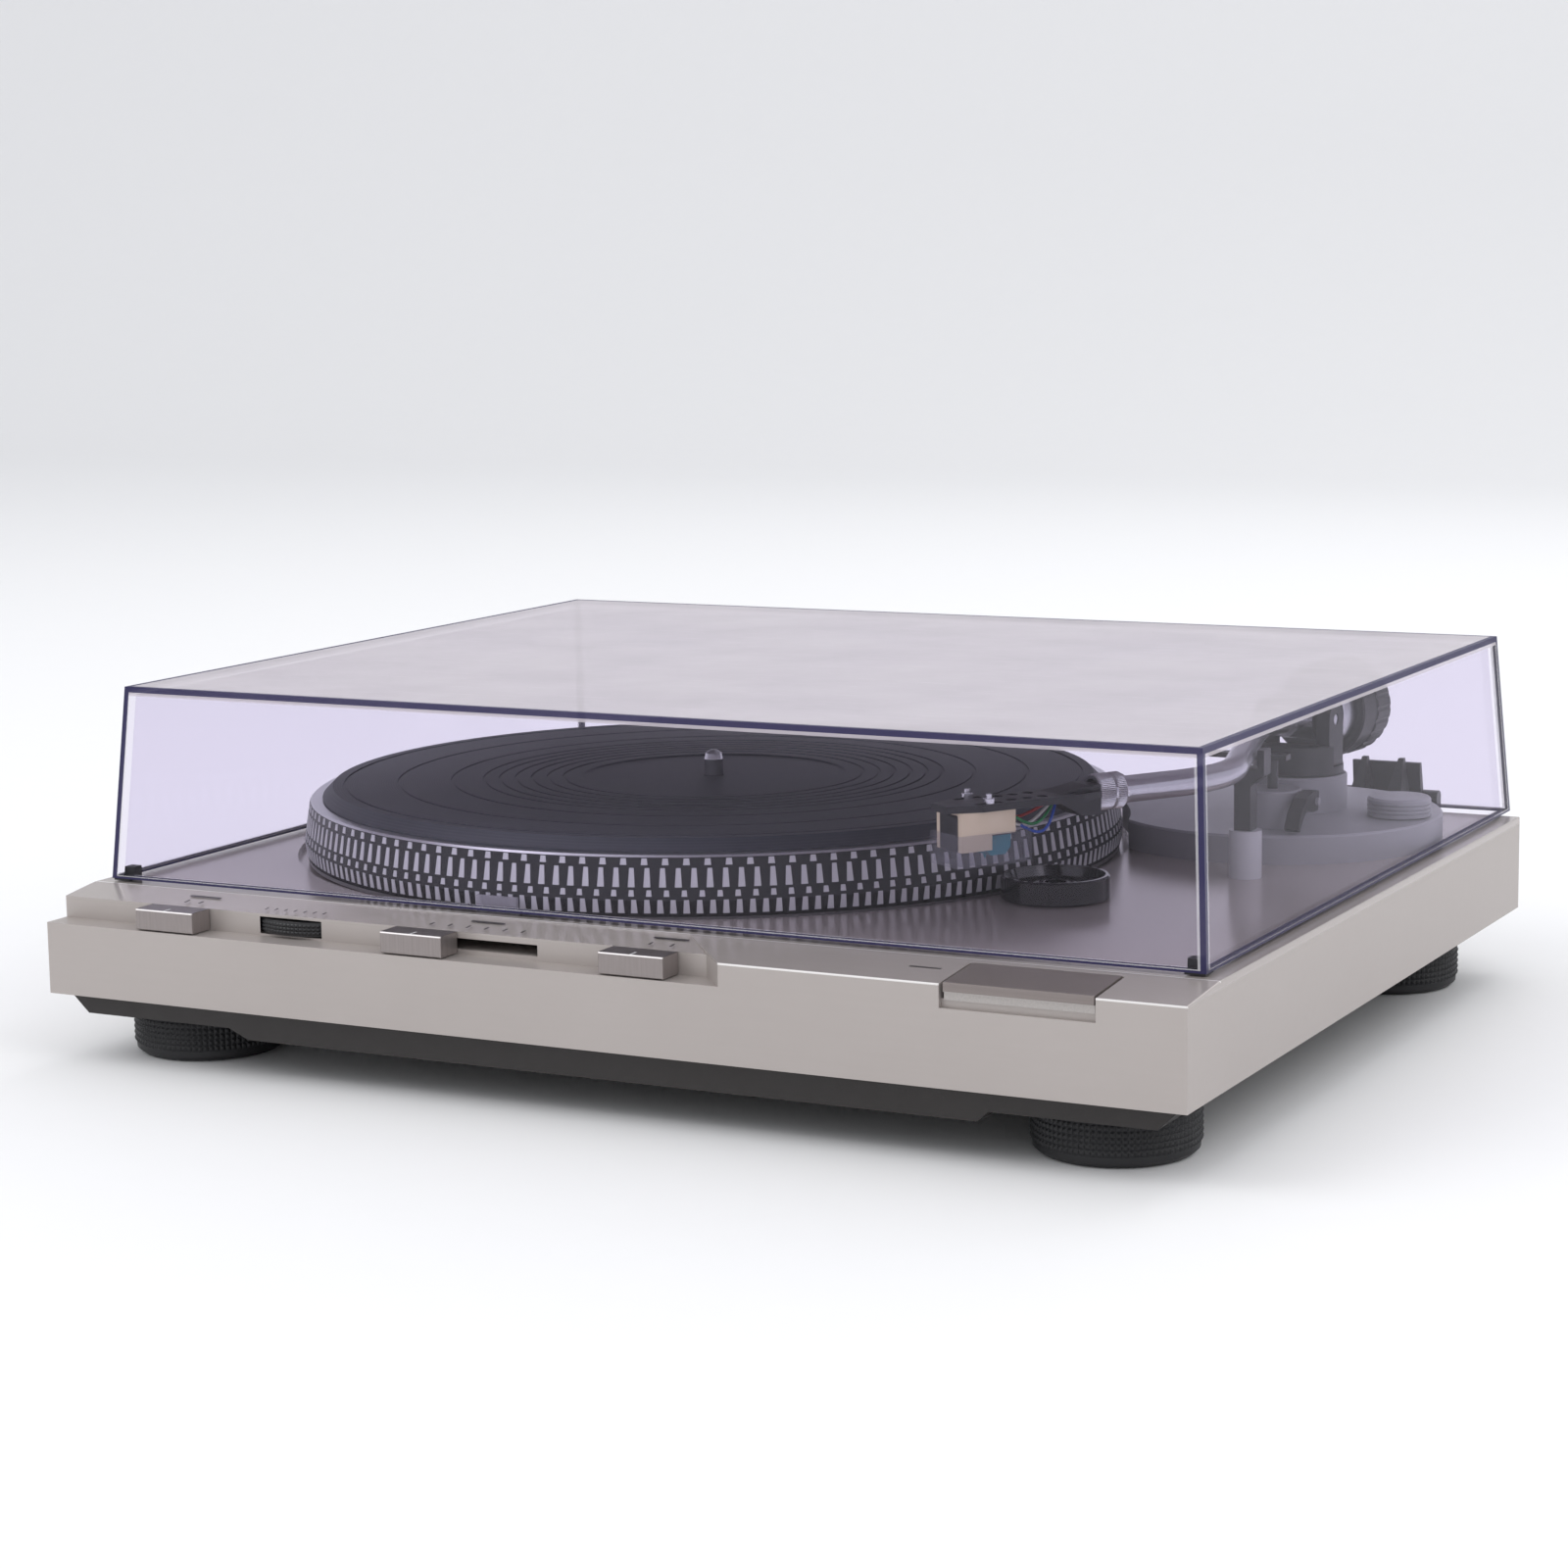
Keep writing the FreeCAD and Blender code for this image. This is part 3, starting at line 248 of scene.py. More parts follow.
def mat_finish():
    """Slate rubber with fine turned rings and a little dust."""
    finish = Finish("slate_rubber", 0.55)
    radius = from_axis(finish, middle("mat"))
    rings = finish.node("ShaderNodeMath", {"operation": "SINE"}, {0: radius * (2 * math.pi / (0.9 * MM))})
    dust = finish.noise(0.6 * MM, 4.0)
    base = finish.blend(finish.noise(25 * MM), (0.030, 0.032, 0.042), (0.048, 0.051, 0.065))
    finish.set("Base Color", finish.blend((dust > 0.70) * 0.18, base, (0.30, 0.30, 0.33)))
    finish.set("Roughness", 0.46 + 0.18 * dust)
    finish.relief(rings * 0.5 + dust * 0.6, 0.03 * MM)
    return finish


def acrylic_finish():
    """Clear lavender acrylic: gloss over a view through, haze and scratches on top, indigo edges, and painted
    highlight lines just inside them.
    """
    finish = Finish("lavender_acrylic", 0.05)
    low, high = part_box("dust_cover")
    rise = (finish.z - low.z) * (1.0 / (high.z - low.z))
    half_width = high.x - 4.05 * MM * rise
    front = low.y + 6.7 * MM * rise
    back = high.y - 8.2 * MM * rise

    def rim(wall):
        """1 within wall of the cover's corners and of its top and bottom edges."""
        beside = abs(finish.x) > half_width - wall
        ahead = finish.y < front + wall
        behind = finish.y > back - wall
        top_rim = (finish.z > high.z - wall) * beside.either(ahead).either(behind)
        return top_rim.either(beside * ahead.either(behind)).either(finish.z < low.z + 0.4 * wall)

    edge = rim(2.0 * MM)
    # painted highlight: a band just inside each edge is made more mirror-like to give white lines there
    painted_highlight_band = rim(2.9 * MM) * 0.42
    on_top = finish.z > high.z - 3.2 * MM
    scratch = (finish.noise(0.9 * MM, 4.0, (0.04, 1.0, 1.0)) > 0.64) * 0.05
    haze = on_top * (0.50 + 0.34 * finish.noise(60 * MM, 4.0) + scratch)
    share = (finish.gleam() + haze).either(painted_highlight_band).either(edge * 0.93)
    pale = finish.blend(on_top, (0.95, 0.93, 0.96), (0.56, 0.51, 0.555))
    finish.set("Base Color", finish.blend(edge, pale, (0.010, 0.006, 0.065)))
    finish.set("Metallic", (1.0 - edge) * (1.0 - 0.95 * on_top))
    finish.set("Roughness", 0.05 + 0.25 * edge + 0.2 * on_top)
    clear = finish.node("ShaderNodeBsdfTransparent", inputs={"Color": (0.93, 0.915, 0.96, 1.0)})
    gloss = Value(finish, finish.shader.outputs[0])
    mixed = finish.node("ShaderNodeMixShader", inputs={0: share, 1: clear, 2: gloss})
    finish.join(mixed, finish.tree.nodes["Material Output"].inputs["Surface"])
    return finish


def clear_finish(name, tint, least):
    """Small clear moulding: gloss over a tinted view through."""
    finish = Finish(name, 0.08)
    finish.set("Base Color", finish.blend(finish.noise(2 * MM), (0.62, 0.62, 0.66), (0.8, 0.8, 0.84)))
    clear = finish.node("ShaderNodeBsdfTransparent", inputs={"Color": (*tint, 1.0)})
    gloss = Value(finish, finish.shader.outputs[0])
    mixed = finish.node("ShaderNodeMixShader", inputs={0: finish.gleam() + least, 1: clear, 2: gloss})
    finish.join(mixed, finish.tree.nodes["Material Output"].inputs["Surface"])
    return finish


def cartridge_finish():
    """Cream moulding, faintly clouded."""
    finish = Finish("cream_moulding", 0.42)
    base = finish.blend(finish.noise(6 * MM), (0.60, 0.50, 0.34), (0.70, 0.61, 0.45))
    finish.set("Base Color", base)
    finish.relief(finish.noise(0.4 * MM, 2.0), 0.01 * MM)
    return finish


def stylus_finish():
    """Teal moulding with a dark top."""
    finish = Finish("teal_moulding", 0.35)
    top = finish.z > 95.0 * MM
    finish.set("Base Color", finish.blend(top, (0.0, 0.20, 0.26), (0.012, 0.012, 0.014)))
    finish.relief(finish.noise(0.4 * MM, 2.0), 0.008 * MM)
    return finish


def knob_finish():
    """Brown-grey anodised metal with a painted highlight: a bright line along the top front edge."""
    finish = Finish("brown_grey_anodised", 0.32, 0.6)
    lines = finish.noise(0.9 * MM, 2.0, (1.0, 1.0, 0.05))
    face = finish.blend(lines, (0.235, 0.205, 0.20), (0.33, 0.295, 0.285))
    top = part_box("repeat_selector")[1].z
    face = finish.blend(finish.z > top - 0.12 * MM, face, (0.15, 0.13, 0.125))
    # painted highlight: the top front edge is lightened where light catches it
    edge = (finish.z > top - 0.5 * MM) * (finish.y < FRONT_Y + 0.85 * MM)
    finish.set("Base Color", finish.blend(edge, face, (0.72, 0.69, 0.68)))
    finish.set("Roughness", 0.26 + 0.14 * lines)
    finish.relief(lines, 0.006 * MM)
    return finish


def key_finish():
    """Brown-grey drawn metal on the start key, above a light speckled skirt."""
    finish = Finish("key_metal", 0.3, 0.5)
    lines = finish.noise(1.2 * MM, 2.0, (0.04, 1.0, 1.0))
    face = finish.blend(lines, (0.205, 0.175, 0.165), (0.27, 0.235, 0.225))
    speckle = finish.blend(finish.noise(0.7 * MM), (0.34, 0.315, 0.30), (0.50, 0.47, 0.45))
    finish.set("Base Color", finish.blend(finish.z < DECK_Z - 4.7 * MM, face, speckle))
    finish.set("Roughness", 0.26 + 0.14 * lines)
    finish.relief(lines, 0.008 * MM)
    return finish


FINISHES = {
    "silver": cabinet_finish(),
    "platter": platter_finish(),
    "mat": mat_finish(),
    "acrylic": acrylic_finish(),
    "clear": clear_finish("clear_guard", (0.93, 0.93, 0.95), 0.04),
    "prism": clear_finish("strobe_prism_clear", (0.80, 0.78, 0.80), 0.30),
    "cream": cartridge_finish(),
    "teal": stylus_finish(),
    "tray": moulded("tray_moulding", (0.022, 0.018, 0.017), 0.5, 0.5 * MM, 0.03 * MM),
    "rubber": moulded("foot_rubber", (0.014, 0.014, 0.016), 0.5, 0.4 * MM, 0.02 * MM),
    "grey": moulded("grey_moulding", (0.30, 0.30, 0.315), 0.42, 0.3 * MM, 0.012 * MM, 0.9),
    "rest": moulded("light_grey_moulding", (0.48, 0.48, 0.50), 0.42, 0.3 * MM, 0.01 * MM, 0.9),
    "black": moulded("black_moulding", (0.012, 0.012, 0.014), 0.38, 0.3 * MM, 0.012 * MM),
    "gloss_black": moulded("gloss_black", (0.008, 0.008, 0.010), 0.16, 3 * MM, 0.0006 * MM, coat=0.4),
    "black_metal": moulded("black_enamel", (0.016, 0.016, 0.019), 0.42, 0.25 * MM, 0.012 * MM),
    "knob": knob_finish(),
    "key": key_finish(),
    "chrome": brushed("polished_chrome", (0.60, 0.60, 0.62), 0.16, (1.0, 1.0, 0.3)),
    "tube": brushed("satin_tube", (0.58, 0.58, 0.61), 0.22, (1.0, 1.0, 0.3)),
    "steel": brushed("turned_steel", (0.55, 0.55, 0.57), 0.28, (1.0, 1.0, 0.05)),
    "iron": moulded("iron_core", (0.10, 0.10, 0.11), 0.45, 0.8 * MM, 0.04 * MM, metal=0.8),
    "board": moulded("brown_board", (0.16, 0.09, 0.03), 0.5, 0.5 * MM, 0.01 * MM),
    "light_paint": moulded("light_grey_paint", (0.60, 0.60, 0.62), 0.45, 0.3 * MM, 0.004 * MM, 0.95),
    "mark": moulded("dark_print", (0.05, 0.045, 0.045), 0.5, 0.3 * MM, 0.002 * MM),
    "white_mark": moulded("white_print", (0.75, 0.75, 0.76), 0.5, 0.3 * MM, 0.002 * MM),
    "red_wire": moulded("red_sleeve", (0.45, 0.02, 0.02), 0.35, 0.3 * MM, 0.004 * MM),
    "white_wire": moulded("white_sleeve", (0.75, 0.74, 0.70), 0.35, 0.3 * MM, 0.004 * MM),
    "green_wire": moulded("green_sleeve", (0.02, 0.28, 0.08), 0.35, 0.3 * MM, 0.004 * MM),
    "blue_wire": moulded("blue_sleeve", (0.02, 0.08, 0.42), 0.35, 0.3 * MM, 0.004 * MM),
}

NODE_FINISHES = {
    "silver": ["cabinet"],
    "tray": ["base_tray"],
    "grey": ["arm_platform", "arm_tower", "lift_cylinder", "anti_skate_dial", "board_pillars"],
    "rest": ["rest_base"],
    "black": ["rest_post", "hinge_bracket_left", "hinge_bracket_right", "hinge_leaf_left", "hinge_leaf_right",
              "hinge_bar_left", "hinge_bar_right", "mains_gland", "phono_gland", "cue_lever", "lift_platform",
              "pitch_wheel"],
    "gloss_black": ["ep_adapter"],
    "black_metal": ["gimbal_yoke", "headshell", "counterweight"],
    "rubber": ["lid_bumpers", "foot_front_left", "foot_front_right", "foot_rear_left", "foot_rear_right"],
    "prism": ["strobe_prism"],
    "clear": ["stylus_guard"],
    "cream": ["cartridge_body"],
    "teal": ["stylus_holder"],
    "platter": ["platter"],
    "mat": ["mat"],
    "acrylic": ["dust_cover"],
    "chrome": ["spindle", "lock_collar", "cartridge_screws", "ground_terminal"],
    "tube": ["arm_tube", "pivot_block", "rear_stub", "pressure_dial"],
    "steel": ["yaw_shaft", "bearing_housing", "foot_studs", "pitch_potentiometer"],
    "iron": ["motor_stator", "rotor_magnet", "power_transformer"],
    "board": ["control_board"],
    "knob": ["speed_selector", "repeat_selector", "size_selector"],
    "key": ["start_button"],
}
for finish_name, nodes in NODE_FINISHES.items():
    for node in nodes:
        for material_slot in frame["nodes"][node].material_slots:
            material_slot.material = FINISHES[finish_name].material


# ------------------------------------------------------------------ mesh making

def grid_faces(rows, columns, wrap_rows=False, wrap_columns=True):
    """Corner numbers of the quads between neighbouring rows and columns of a grid of points."""
    row, column = np.meshgrid(np.arange(rows - (not wrap_rows)), np.arange(columns - (not wrap_columns)),
                              indexing="ij")
    next_row, next_column = (row + 1) % rows, (column + 1) % columns
    corners = [row * columns + column, row * columns + next_column,
               next_row * columns + next_column, next_row * columns + column]
    return np.stack(corners, axis=-1).reshape(-1, 4)


def piece(name, points, faces, finish, body, slot, stands_for=(), crease=30.0):
    """A finished object from points and faces: doubles merged, normals outwards, sharp over crease degrees."""
    mesh = bpy.data.meshes.new(name)
    mesh.from_pydata(points.reshape(-1, 3).tolist(), [], faces.tolist())
    shape = bmesh.new()
    shape.from_mesh(mesh)
    bmesh.ops.remove_doubles(shape, verts=shape.verts, dist=1e-7)
    bmesh.ops.dissolve_degenerate(shape, edges=shape.edges, dist=1e-7)
    bmesh.ops.recalc_face_normals(shape, faces=shape.faces)
    shape.to_mesh(mesh)
    shape.free()
    mesh.polygons.foreach_set("use_smooth", np.ones(len(mesh.polygons), bool))
    mesh.set_sharp_from_angle(angle=math.radians(crease))
    mesh.materials.append(FINISHES[finish].material)
    made = bpy.data.objects.new(name, mesh)
    bpy.context.scene.collection.objects.link(made)
    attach(made, body)
    if stands_for:
        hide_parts(*stands_for)
    return made


def side_vectors(axis):
    """Two unit vectors square to an axis and to each other."""
    axis = np.array(axis, float) / np.linalg.norm(axis)
    first = np.cross(axis, [0.0, 0.0, 1.0] if abs(axis[2]) < 0.9 else [1.0, 0.0, 0.0])
    first /= np.linalg.norm(first)
    return axis, first, np.cross(axis, first)


def turned_points(profile, centre, axis=(0, 0, 1), around=96, shape=None):
    """Profile (radius, height) swept round an axis; shape changes the radius by height and angle."""
    profile = np.array(profile, float)
    axis, first, second = side_vectors(axis)
    angle = np.arange(around) * 2 * np.pi / around
    radius, height = np.broadcast_arrays(profile[:, :1], profile[:, 1:])
    radius = np.repeat(radius, around, axis=1)
    height = np.repeat(height, around, axis=1)
    if shape is not None:
        radius = shape(radius, height, angle[None, :])
    outwards = np.cos(angle)[None, :, None] * first + np.sin(angle)[None, :, None] * second
    return np.array(centre) + height[..., None] * axis + radius[..., None] * outwards


def turned_piece(name, profile, centre, finish, body, slot, **more):
    """A turned piece; a profile that ends off the axis is closed onto itself."""
    sweep = {key: more.pop(key) for key in ("axis", "around", "shape") if key in more}
    points = turned_points(profile, centre, **sweep)
    hollow = min(profile[0][0], profile[-1][0]) > 0
    faces = grid_faces(points.shape[0], points.shape[1], wrap_rows=hollow)
    return piece(name, points, faces, finish, body, slot, **more)


def tube_piece(name, path, radius, finish, body, slot, around=12):
    """A round section carried along a path of points, closed to a point at both ends."""
    path = np.array(path, float)
    along = np.gradient(path, axis=0)
    along /= np.linalg.norm(along, axis=1, keepdims=True)
    first = np.cross(along, [0.31, 0.17, 0.93])
    first /= np.linalg.norm(first, axis=1, keepdims=True)
    second = np.cross(along, first)
    angle = np.arange(around) * 2 * np.pi / around
    ring = (np.cos(angle)[None, :, None] * first[:, None, :] + np.sin(angle)[None, :, None] * second[:,
                                                                                                     None, :])
    points = path[:, None, :] + radius * ring
    tips = [np.repeat(path[end][None, None, :], around, axis=1) for end in (0, -1)]
    points = np.concatenate([tips[0], points, tips[1]])
    return piece(name, points, grid_faces(points.shape[0], around), finish, body, slot)


BLOCK_FACES = np.array([[0, 3, 2, 1], [4, 5, 6, 7], [0, 1, 5, 4], [1, 2, 6, 5], [2, 3, 7, 6], [3, 0, 4, 7]])


def block_piece(name, corners, finish, body, slot):
    """Many small six-sided blocks in one piece; corners is blocks by 8 by 3, low four then high four."""
    corners = np.array(corners, float)
    starts = (np.arange(len(corners)) * 8)[:, None, None]
    faces = (starts + BLOCK_FACES[None]).reshape(-1, 4)
    return piece(name, corners, faces, finish, body, slot)


# ------------------------------------------------------------------ feet

def knurl_rings(radius, low, high, rows, samples=4):
    """Closely spaced rings of one radius, to carry a knurl between two heights."""
    return [(radius, height) for height in np.linspace(low, high, rows * samples + 1)]


def pyramids(radius, low, high, rows, count, depth):
    """Radius change that raises rows of pyramids: each falls away from its middle as a square cone."""
    def shape(radii, heights, angles):
        up = (heights - low) / (high - low) * rows
        turn = angles / (2 * np.pi) * count
        fall = np.maximum(np.abs(2 * (up % 1.0) - 1), np.abs(2 * (turn % 1.0) - 1))
        inside = (heights >= low) & (heights <= high) & (radii > radius - 0.01 * MM)
        return radii - np.where(inside, depth * fall, 0)
    return shape


def make_foot(node):
    """A foot with a rounded lower edge and five rows of pyramids round its side."""
    low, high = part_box(node)
    radius, height = (high.x - low.x) / 2, high.z - low.z
    rows, count = 5, 84
    band = (4.0 * MM, height - 1.6 * MM)
    profile = [(0, 0), (radius - 5 * MM, 0), (radius - 2.6 * MM, 0.5 * MM), (radius - 0.9 * MM, 2.0 * MM),
               *knurl_rings(radius, *band, rows), (radius - 0.2 * MM, height - 0.7 * MM),
               (radius - 1.2 * MM, height), (4.05 * MM, height), (4.05 * MM, 5 * MM), (0, 5 * MM)]
    centre = middle(node)
    turned_piece(f"{node}_knurled", profile, (centre[0], centre[1], low.z), "rubber", node, "rubber",
                 around=count * 4, shape=pyramids(radius, *band, rows, count, 0.75 * MM), stands_for=(node,),
                 crease=20.0)


for foot in ("foot_front_left", "foot_front_right", "foot_rear_left", "foot_rear_right"):
    make_foot(foot)


# ------------------------------------------------------------------ controls

def make_pitch_wheel():
    """The thumbwheel with three rows of small pyramids, a rim and a dished top."""
    low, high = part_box("pitch_wheel")
    radius, top = (high.x - low.x) / 2, high.z - low.z
    foot = top - 4.9 * MM
    band = (foot + 0.5 * MM, top - 0.6 * MM)
    rows, count = 3, 96
    profile = [(0, 0), (3 * MM, 0), (3 * MM, foot), (radius - 0.5 * MM, foot),
               *knurl_rings(radius, *band, rows),
               (radius - 0.6 * MM, top), (radius - 2.4 * MM, top), (radius - 3.0 * MM, top - 0.6 * MM),
               (0, top - 0.6 * MM)]
    centre = middle("pitch_wheel")
    turned_piece("pitch_wheel_knurled", profile, (centre[0], centre[1], low.z), "black", "pitch_wheel",
                 "black",
                 around=count * 4, shape=pyramids(radius, *band, rows, count, 0.5 * MM),
                 stands_for=("pitch_wheel",), crease=20.0)


def make_knob_pointers():
    """A fine pale pointer line across the top of each sliding knob."""
    for knob, body in (("speed_selector", "speed_slider"), ("repeat_selector", "repeat_slider"),
                       ("size_selector", "size_slider")):
        low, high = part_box(knob)
        centre = (low.x + high.x) / 2
        span = [(centre - 0.3 * MM, low.y + 0.2 * MM), (centre + 0.3 * MM, low.y + 0.2 * MM),
                (centre + 0.3 * MM, low.y + 4.2 * MM), (centre - 0.3 * MM, low.y + 4.2 * MM)]
        corners = [(x, y, high.z + lift) for lift in (-0.1 * MM, 0.06 * MM) for x, y in span]
        block_piece(f"{knob}_pointer", [corners], "white_mark", body, "silver")


make_pitch_wheel()
make_knob_pointers()


# ------------------------------------------------------------------ platter

PLATTER_SIDE = np.array([[58.8, 153.0], [65.8, 154.0], [80.2, 151.7], [81.0, 150.9]]) * MM


def strobe_row(name, count, low, high, wide, narrow):
    """A row of pads on the platter's side, each a low block.

    wide and narrow are a pad's lower and upper widths as shares of the pitch.
    """
    centre = middle("platter")
    step = 2 * np.pi / count
    angle = np.arange(count) * step
    heights = np.array([low, high]) * MM
    face = np.interp(heights, PLATTER_SIDE[:, 0], PLATTER_SIDE[:, 1])
    share = np.array([wide, narrow])
    rings = []
    for proud in (-0.4 * MM, 0.22 * MM):
        taper = 1.0 if proud < 0 else 0.86
        for level, side in ((0, -1), (0, 1), (1, 1), (1, -1)):
            turn = angle + side * step * share[level] / 2 * taper
            radius = face[level] + proud
            rings.append(np.stack([centre[0] + radius * np.cos(turn), centre[1] + radius * np.sin(turn),
                                   np.full(count, heights[level])], axis=-1))
    block_piece(name, np.stack(rings, axis=1), "light_paint", "platter", "alloy")


strobe_row("strobe_row_top", 133, 77.8, 80.0, 0.36, 0.28)
strobe_row("strobe_row_tall", 180, 70.4, 76.8, 0.50, 0.33)
strobe_row("strobe_row_small", 160, 67.3, 69.4, 0.36, 0.28)
strobe_row("strobe_row_low", 216, 61.5, 66.2, 0.58, 0.42)


# ------------------------------------------------------------------ tonearm trim

def along_joint(name):
    """Unit vector of a joint's axis."""
    axis = np.array(joints[name]["axis"], float)
    return axis / np.linalg.norm(axis)


def make_collar():
    """The lock collar with fine straight knurling on its two raised bands."""
    length = 11.7 * MM
    profile = np.array([(4.55, 0), (5.4, 0), (5.4, 1.0), (6.2, 1.4), (6.2, 4.4), (5.8, 4.8), (5.8, 5.6),
                        (6.2, 6.0),
                        (6.2, 11.1), (5.7, 11.7), (4.55, 11.7)]) * MM
    axis = along_joint("collar_turn")

    def knurl(radii, heights, angles):
        ridge = np.abs(np.sin(angles * 30))
        return radii - np.where(radii > 6.1 * MM, 0.3 * MM * (1 - ridge), 0)

    turned_piece("lock_collar_knurled", profile, middle("lock_collar") - axis * length / 2, "chrome",
                 "collar",
                 "chrome", axis=axis, around=240, shape=knurl, stands_for=("lock_collar",))


def make_lead_wires():
    """Four sleeved leads that sag from the shell's neck to the pins behind the cartridge."""
    ahead = along_joint("collar_turn")
    across = np.array([-ahead[1], ahead[0], 0.0])
    start = middle("headshell") * [1, 1, 0] + [0, 0, 102.6 * MM] - ahead * 12.5 * MM
    run = np.linspace(0, 1, 25)[:, None]
    for index, name in enumerate(("red", "white", "green", "blue")):
        spread = (index - 1.5) * 2.6 * MM
        begin = start + across * spread * 0.6
        end = start + ahead * 14.5 * MM + across * spread - np.array([0, 0, (3.0 + 2.2 * (index % 2)) * MM])
        belly = np.sin(run * np.pi) * (2.6 + 0.7 * index) * MM
        path = begin + (end - begin) * run - belly * [0, 0, 1] + across * np.sin(run * np.pi) * spread * 0.8
        tube_piece(f"lead_wire_{name}", path, 0.5 * MM, f"{name}_wire", "arm", "black")


STYLUS_AHEAD = 47.7 * MM


def shell_box(along, across, heights):
    """Eight corners of a box given along and across the shell, from the stylus point."""
    ahead = along_joint("collar_turn")
    side = np.array([-ahead[1], ahead[0], 0.0])
    stylus = np.array(joints["collar_turn"]["pos_m"]) * [1, 1, 0] + STYLUS_AHEAD * ahead
    plan = [(along[0], across[0]), (along[1], across[0]), (along[1], across[1]), (along[0], across[1])]
    return [stylus + ahead * forwards * MM + side * sideways * MM + np.array([0, 0, height * MM])
            for height in heights for forwards, sideways in plan]


def make_cartridge_front():
    """The black block set in the cartridge's front, with softened edges."""
    block = block_piece("cartridge_front_block", [shell_box((8, 14.1), (-5.2, 5.2), (90.8, 102.9))],
                        "black", "arm",
                        "black")
    soften = block.modifiers.new("soft_edges", "BEVEL")
    soften.width = 0.7 * MM
    soften.segments = 3


def make_hinge_gussets():
    """On each hinge bar inside the cover, two thin pointed fins on a low plate."""
    for side in ("left", "right"):
        low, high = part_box(f"hinge_bar_{side}")
        plate = [(low.x, low.y), (high.x, low.y), (high.x, high.y), (low.x, high.y)]
        top = low.z + 0.16 * (high.z - low.z)
        blocks = [[(x, y, z) for z in (low.z, top) for x, y in plate]]
        for share in (0.26, 0.72):
            centre = low.x + share * (high.x - low.x)
            foot = [(centre - 3.4 * MM, low.y), (centre + 3.4 * MM, low.y), (centre + 3.4 * MM, high.y),
                    (centre - 3.4 * MM, high.y)]
            tip = [(centre - 1.0 * MM, high.y - 2.4 * MM), (centre + 1.0 * MM, high.y - 2.4 * MM),
                   (centre + 1.0 * MM, high.y), (centre - 1.0 * MM, high.y)]
            blocks.append([(x, y, top) for x, y in foot] + [(x, y, high.z) for x, y in tip])
        gussets = block_piece(f"hinge_gussets_{side}", blocks, "black", "lid", "black")
        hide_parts(f"hinge_bar_{side}")


make_collar()
make_lead_wires()
make_cartridge_front()
make_hinge_gussets()


# ------------------------------------------------------------------ marks on the front bevel

def bevel_mark(x, back, width, depth):
    """Corners of one thin printed bar on the bevel: x and back are its middle, in metres."""
    side = np.array([-1, 1, 1, -1] * 2)
    end = np.array([-1, -1, 1, 1] * 2)
    lift = np.repeat([-0.05 * MM, 0.05 * MM], 4)
    from_front = back + end * depth / 2
    height = DECK_Z - BEVEL_RISE * (1 - from_front / BEVEL_DEPTH) + lift
    return np.stack([x + side * width / 2, FRONT_Y + from_front, height], axis=-1)


def make_marks():
    """Generic ticks and short bars beside each control."""
    bars = []
    for node, travels in (("speed_selector", (0, 6)), ("repeat_selector", (0, 7.2, 14.4, 21.6, 28.8, 36)),
                          ("size_selector", (0, 8))):
        start = middle(node)[0]
        bars += [bevel_mark(start + travel * MM, 14.2 * MM, 0.7 * MM, 2.6 * MM) for travel in travels]
        bars.append(bevel_mark(start + travels[-1] * MM / 2, 21.0 * MM, 13 * MM, 1.2 * MM))
    wheel = middle("pitch_wheel")[0]
    bars += [bevel_mark(wheel + offset * MM, 14.2 * MM, 0.5 * MM, 2.0 * MM) for offset in range(-12, 13, 4)]
    key = middle("start_button")[0]
    bars.append(bevel_mark(key - 38 * MM, 15 * MM, 11 * MM, 1.2 * MM))
    block_piece("bevel_ticks", bars, "mark", "chassis", "black")


make_marks()


# ------------------------------------------------------------------ floor, light and camera

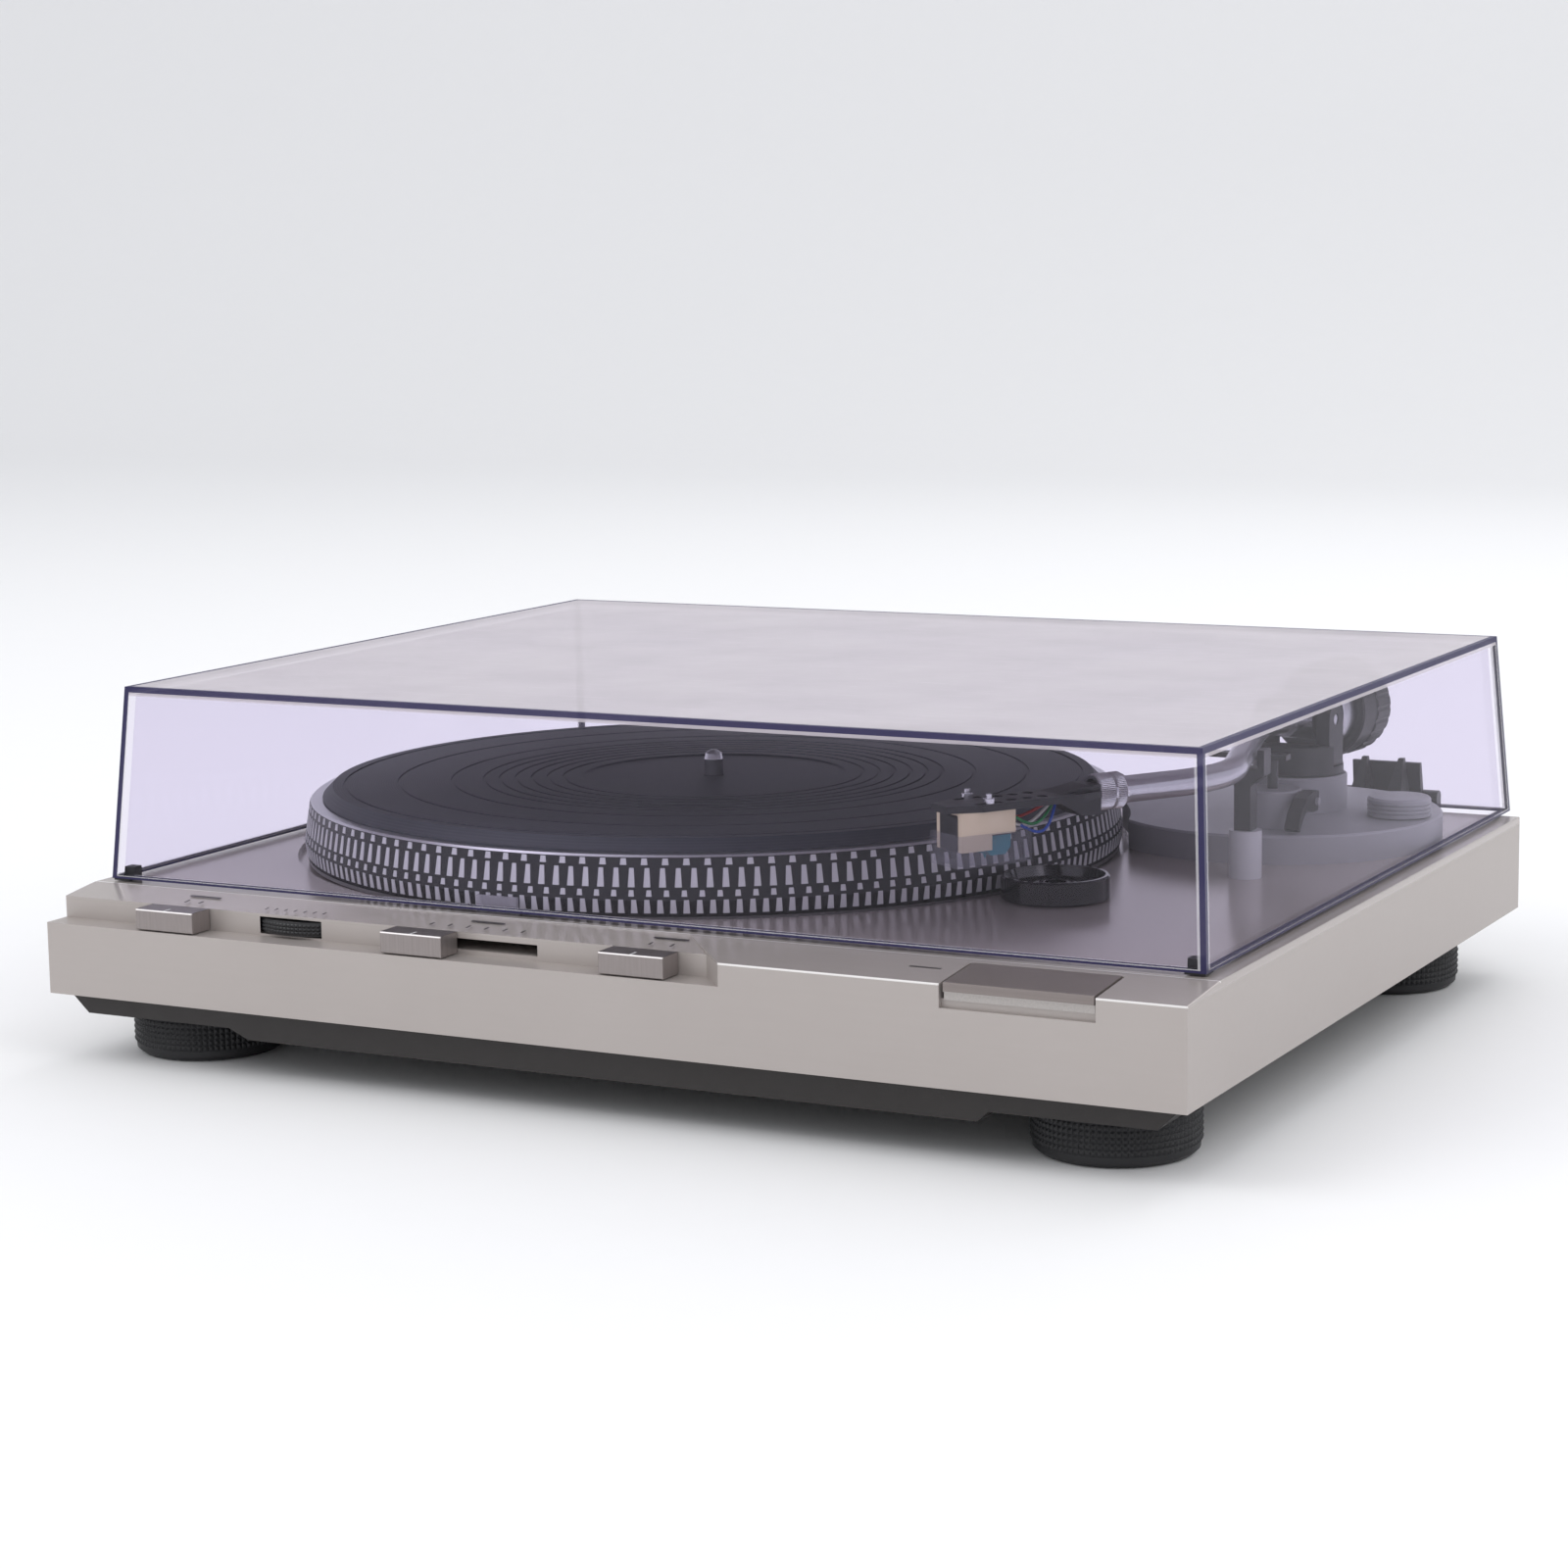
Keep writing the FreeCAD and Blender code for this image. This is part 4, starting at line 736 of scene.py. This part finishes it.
def make_stage():
    """A pale sheet: flat floor that curves up behind in a quarter circle and goes on as a wall."""
    turn = np.linspace(0, np.pi / 2, 24)
    radius, back = 1.2, 2.6
    floor_y = np.concatenate([[-6.0], back + radius * np.sin(turn), [back + radius]])
    floor_z = np.concatenate([[0.0], radius * (1 - np.cos(turn)), [5.0]])
    across = np.array([-7.0, 7.0])
    points = np.stack([np.repeat(across[None, :], len(floor_y), 0), np.repeat(floor_y[:, None], 2, 1),
                       np.repeat(floor_z[:, None], 2, 1)], axis=-1)
    mesh = bpy.data.meshes.new("pale_sheet")
    mesh.from_pydata(points.reshape(-1, 3).tolist(), [],
                     grid_faces(len(floor_y), 2, wrap_columns=False).tolist())
    mesh.polygons.foreach_set("use_smooth", np.ones(len(mesh.polygons), bool))
    paper = moulded("pale_paper", (0.86, 0.86, 0.865), 0.7, 4 * MM, 0.01 * MM, 0.99)
    mesh.materials.append(paper.material)
    sheet = bpy.data.objects.new("pale_sheet", mesh)
    bpy.context.scene.collection.objects.link(sheet)


def make_light(name, place, size, power):
    """A square soft light aimed at the deck."""
    lamp = bpy.data.lights.new(name, "AREA")
    lamp.size = size
    lamp.energy = power
    made = bpy.data.objects.new(name, lamp)
    made.location = place
    aim = np.array([0.0, 0.0, DECK_Z]) - np.array(place)
    made.rotation_euler = Vector(aim).to_track_quat("-Z", "Y").to_euler()
    bpy.context.scene.collection.objects.link(made)


CAMERA_PLACE = (0.58494, -0.96591 + FRONT_Y, 0.28839)
CAMERA_TURN = (0.48138, -0.15601, -0.01522)
CAMERA_LENS = 80.91


def make_camera():
    """Camera from its place, and its heading, pitch and roll in radians."""
    yaw, pitch, roll = CAMERA_TURN
    ahead = np.array([-math.sin(yaw) * math.cos(pitch), math.cos(yaw) * math.cos(pitch), math.sin(pitch)])
    right = np.array([math.cos(yaw), math.sin(yaw), 0.0])
    up = np.cross(right, ahead)
    right, up = right * math.cos(roll) + up * math.sin(roll), up * math.cos(roll) - right * math.sin(roll)
    data = bpy.data.cameras.new("camera")
    data.sensor_width = 36.0
    data.lens = CAMERA_LENS
    data.clip_start, data.clip_end = 0.05, 50.0
    camera = bpy.data.objects.new("camera", data)
    turn = Matrix([list(row) for row in np.stack([right, up, -ahead], axis=1)])
    camera.matrix_world = Matrix.Translation(CAMERA_PLACE) @ turn.to_4x4()
    bpy.context.scene.collection.objects.link(camera)
    bpy.context.scene.camera = camera


make_stage()
make_light("softbox_left", (-1.5, -1.3, 2.0), 1.6, 17.0)
make_light("softbox_right", (1.8, -0.6, 1.6), 1.4, 11.0)
make_light("softbox_back", (0.2, 1.7, 1.9), 1.8, 14.0)
world = bpy.data.worlds.new("studio_air")
world.use_nodes = True
world.node_tree.nodes["Background"].inputs["Color"].default_value = (0.93, 0.94, 0.97, 1.0)
world.node_tree.nodes["Background"].inputs["Strength"].default_value = 0.92
bpy.context.scene.world = world
bpy.context.scene.view_settings.view_transform = "Standard"
make_camera()
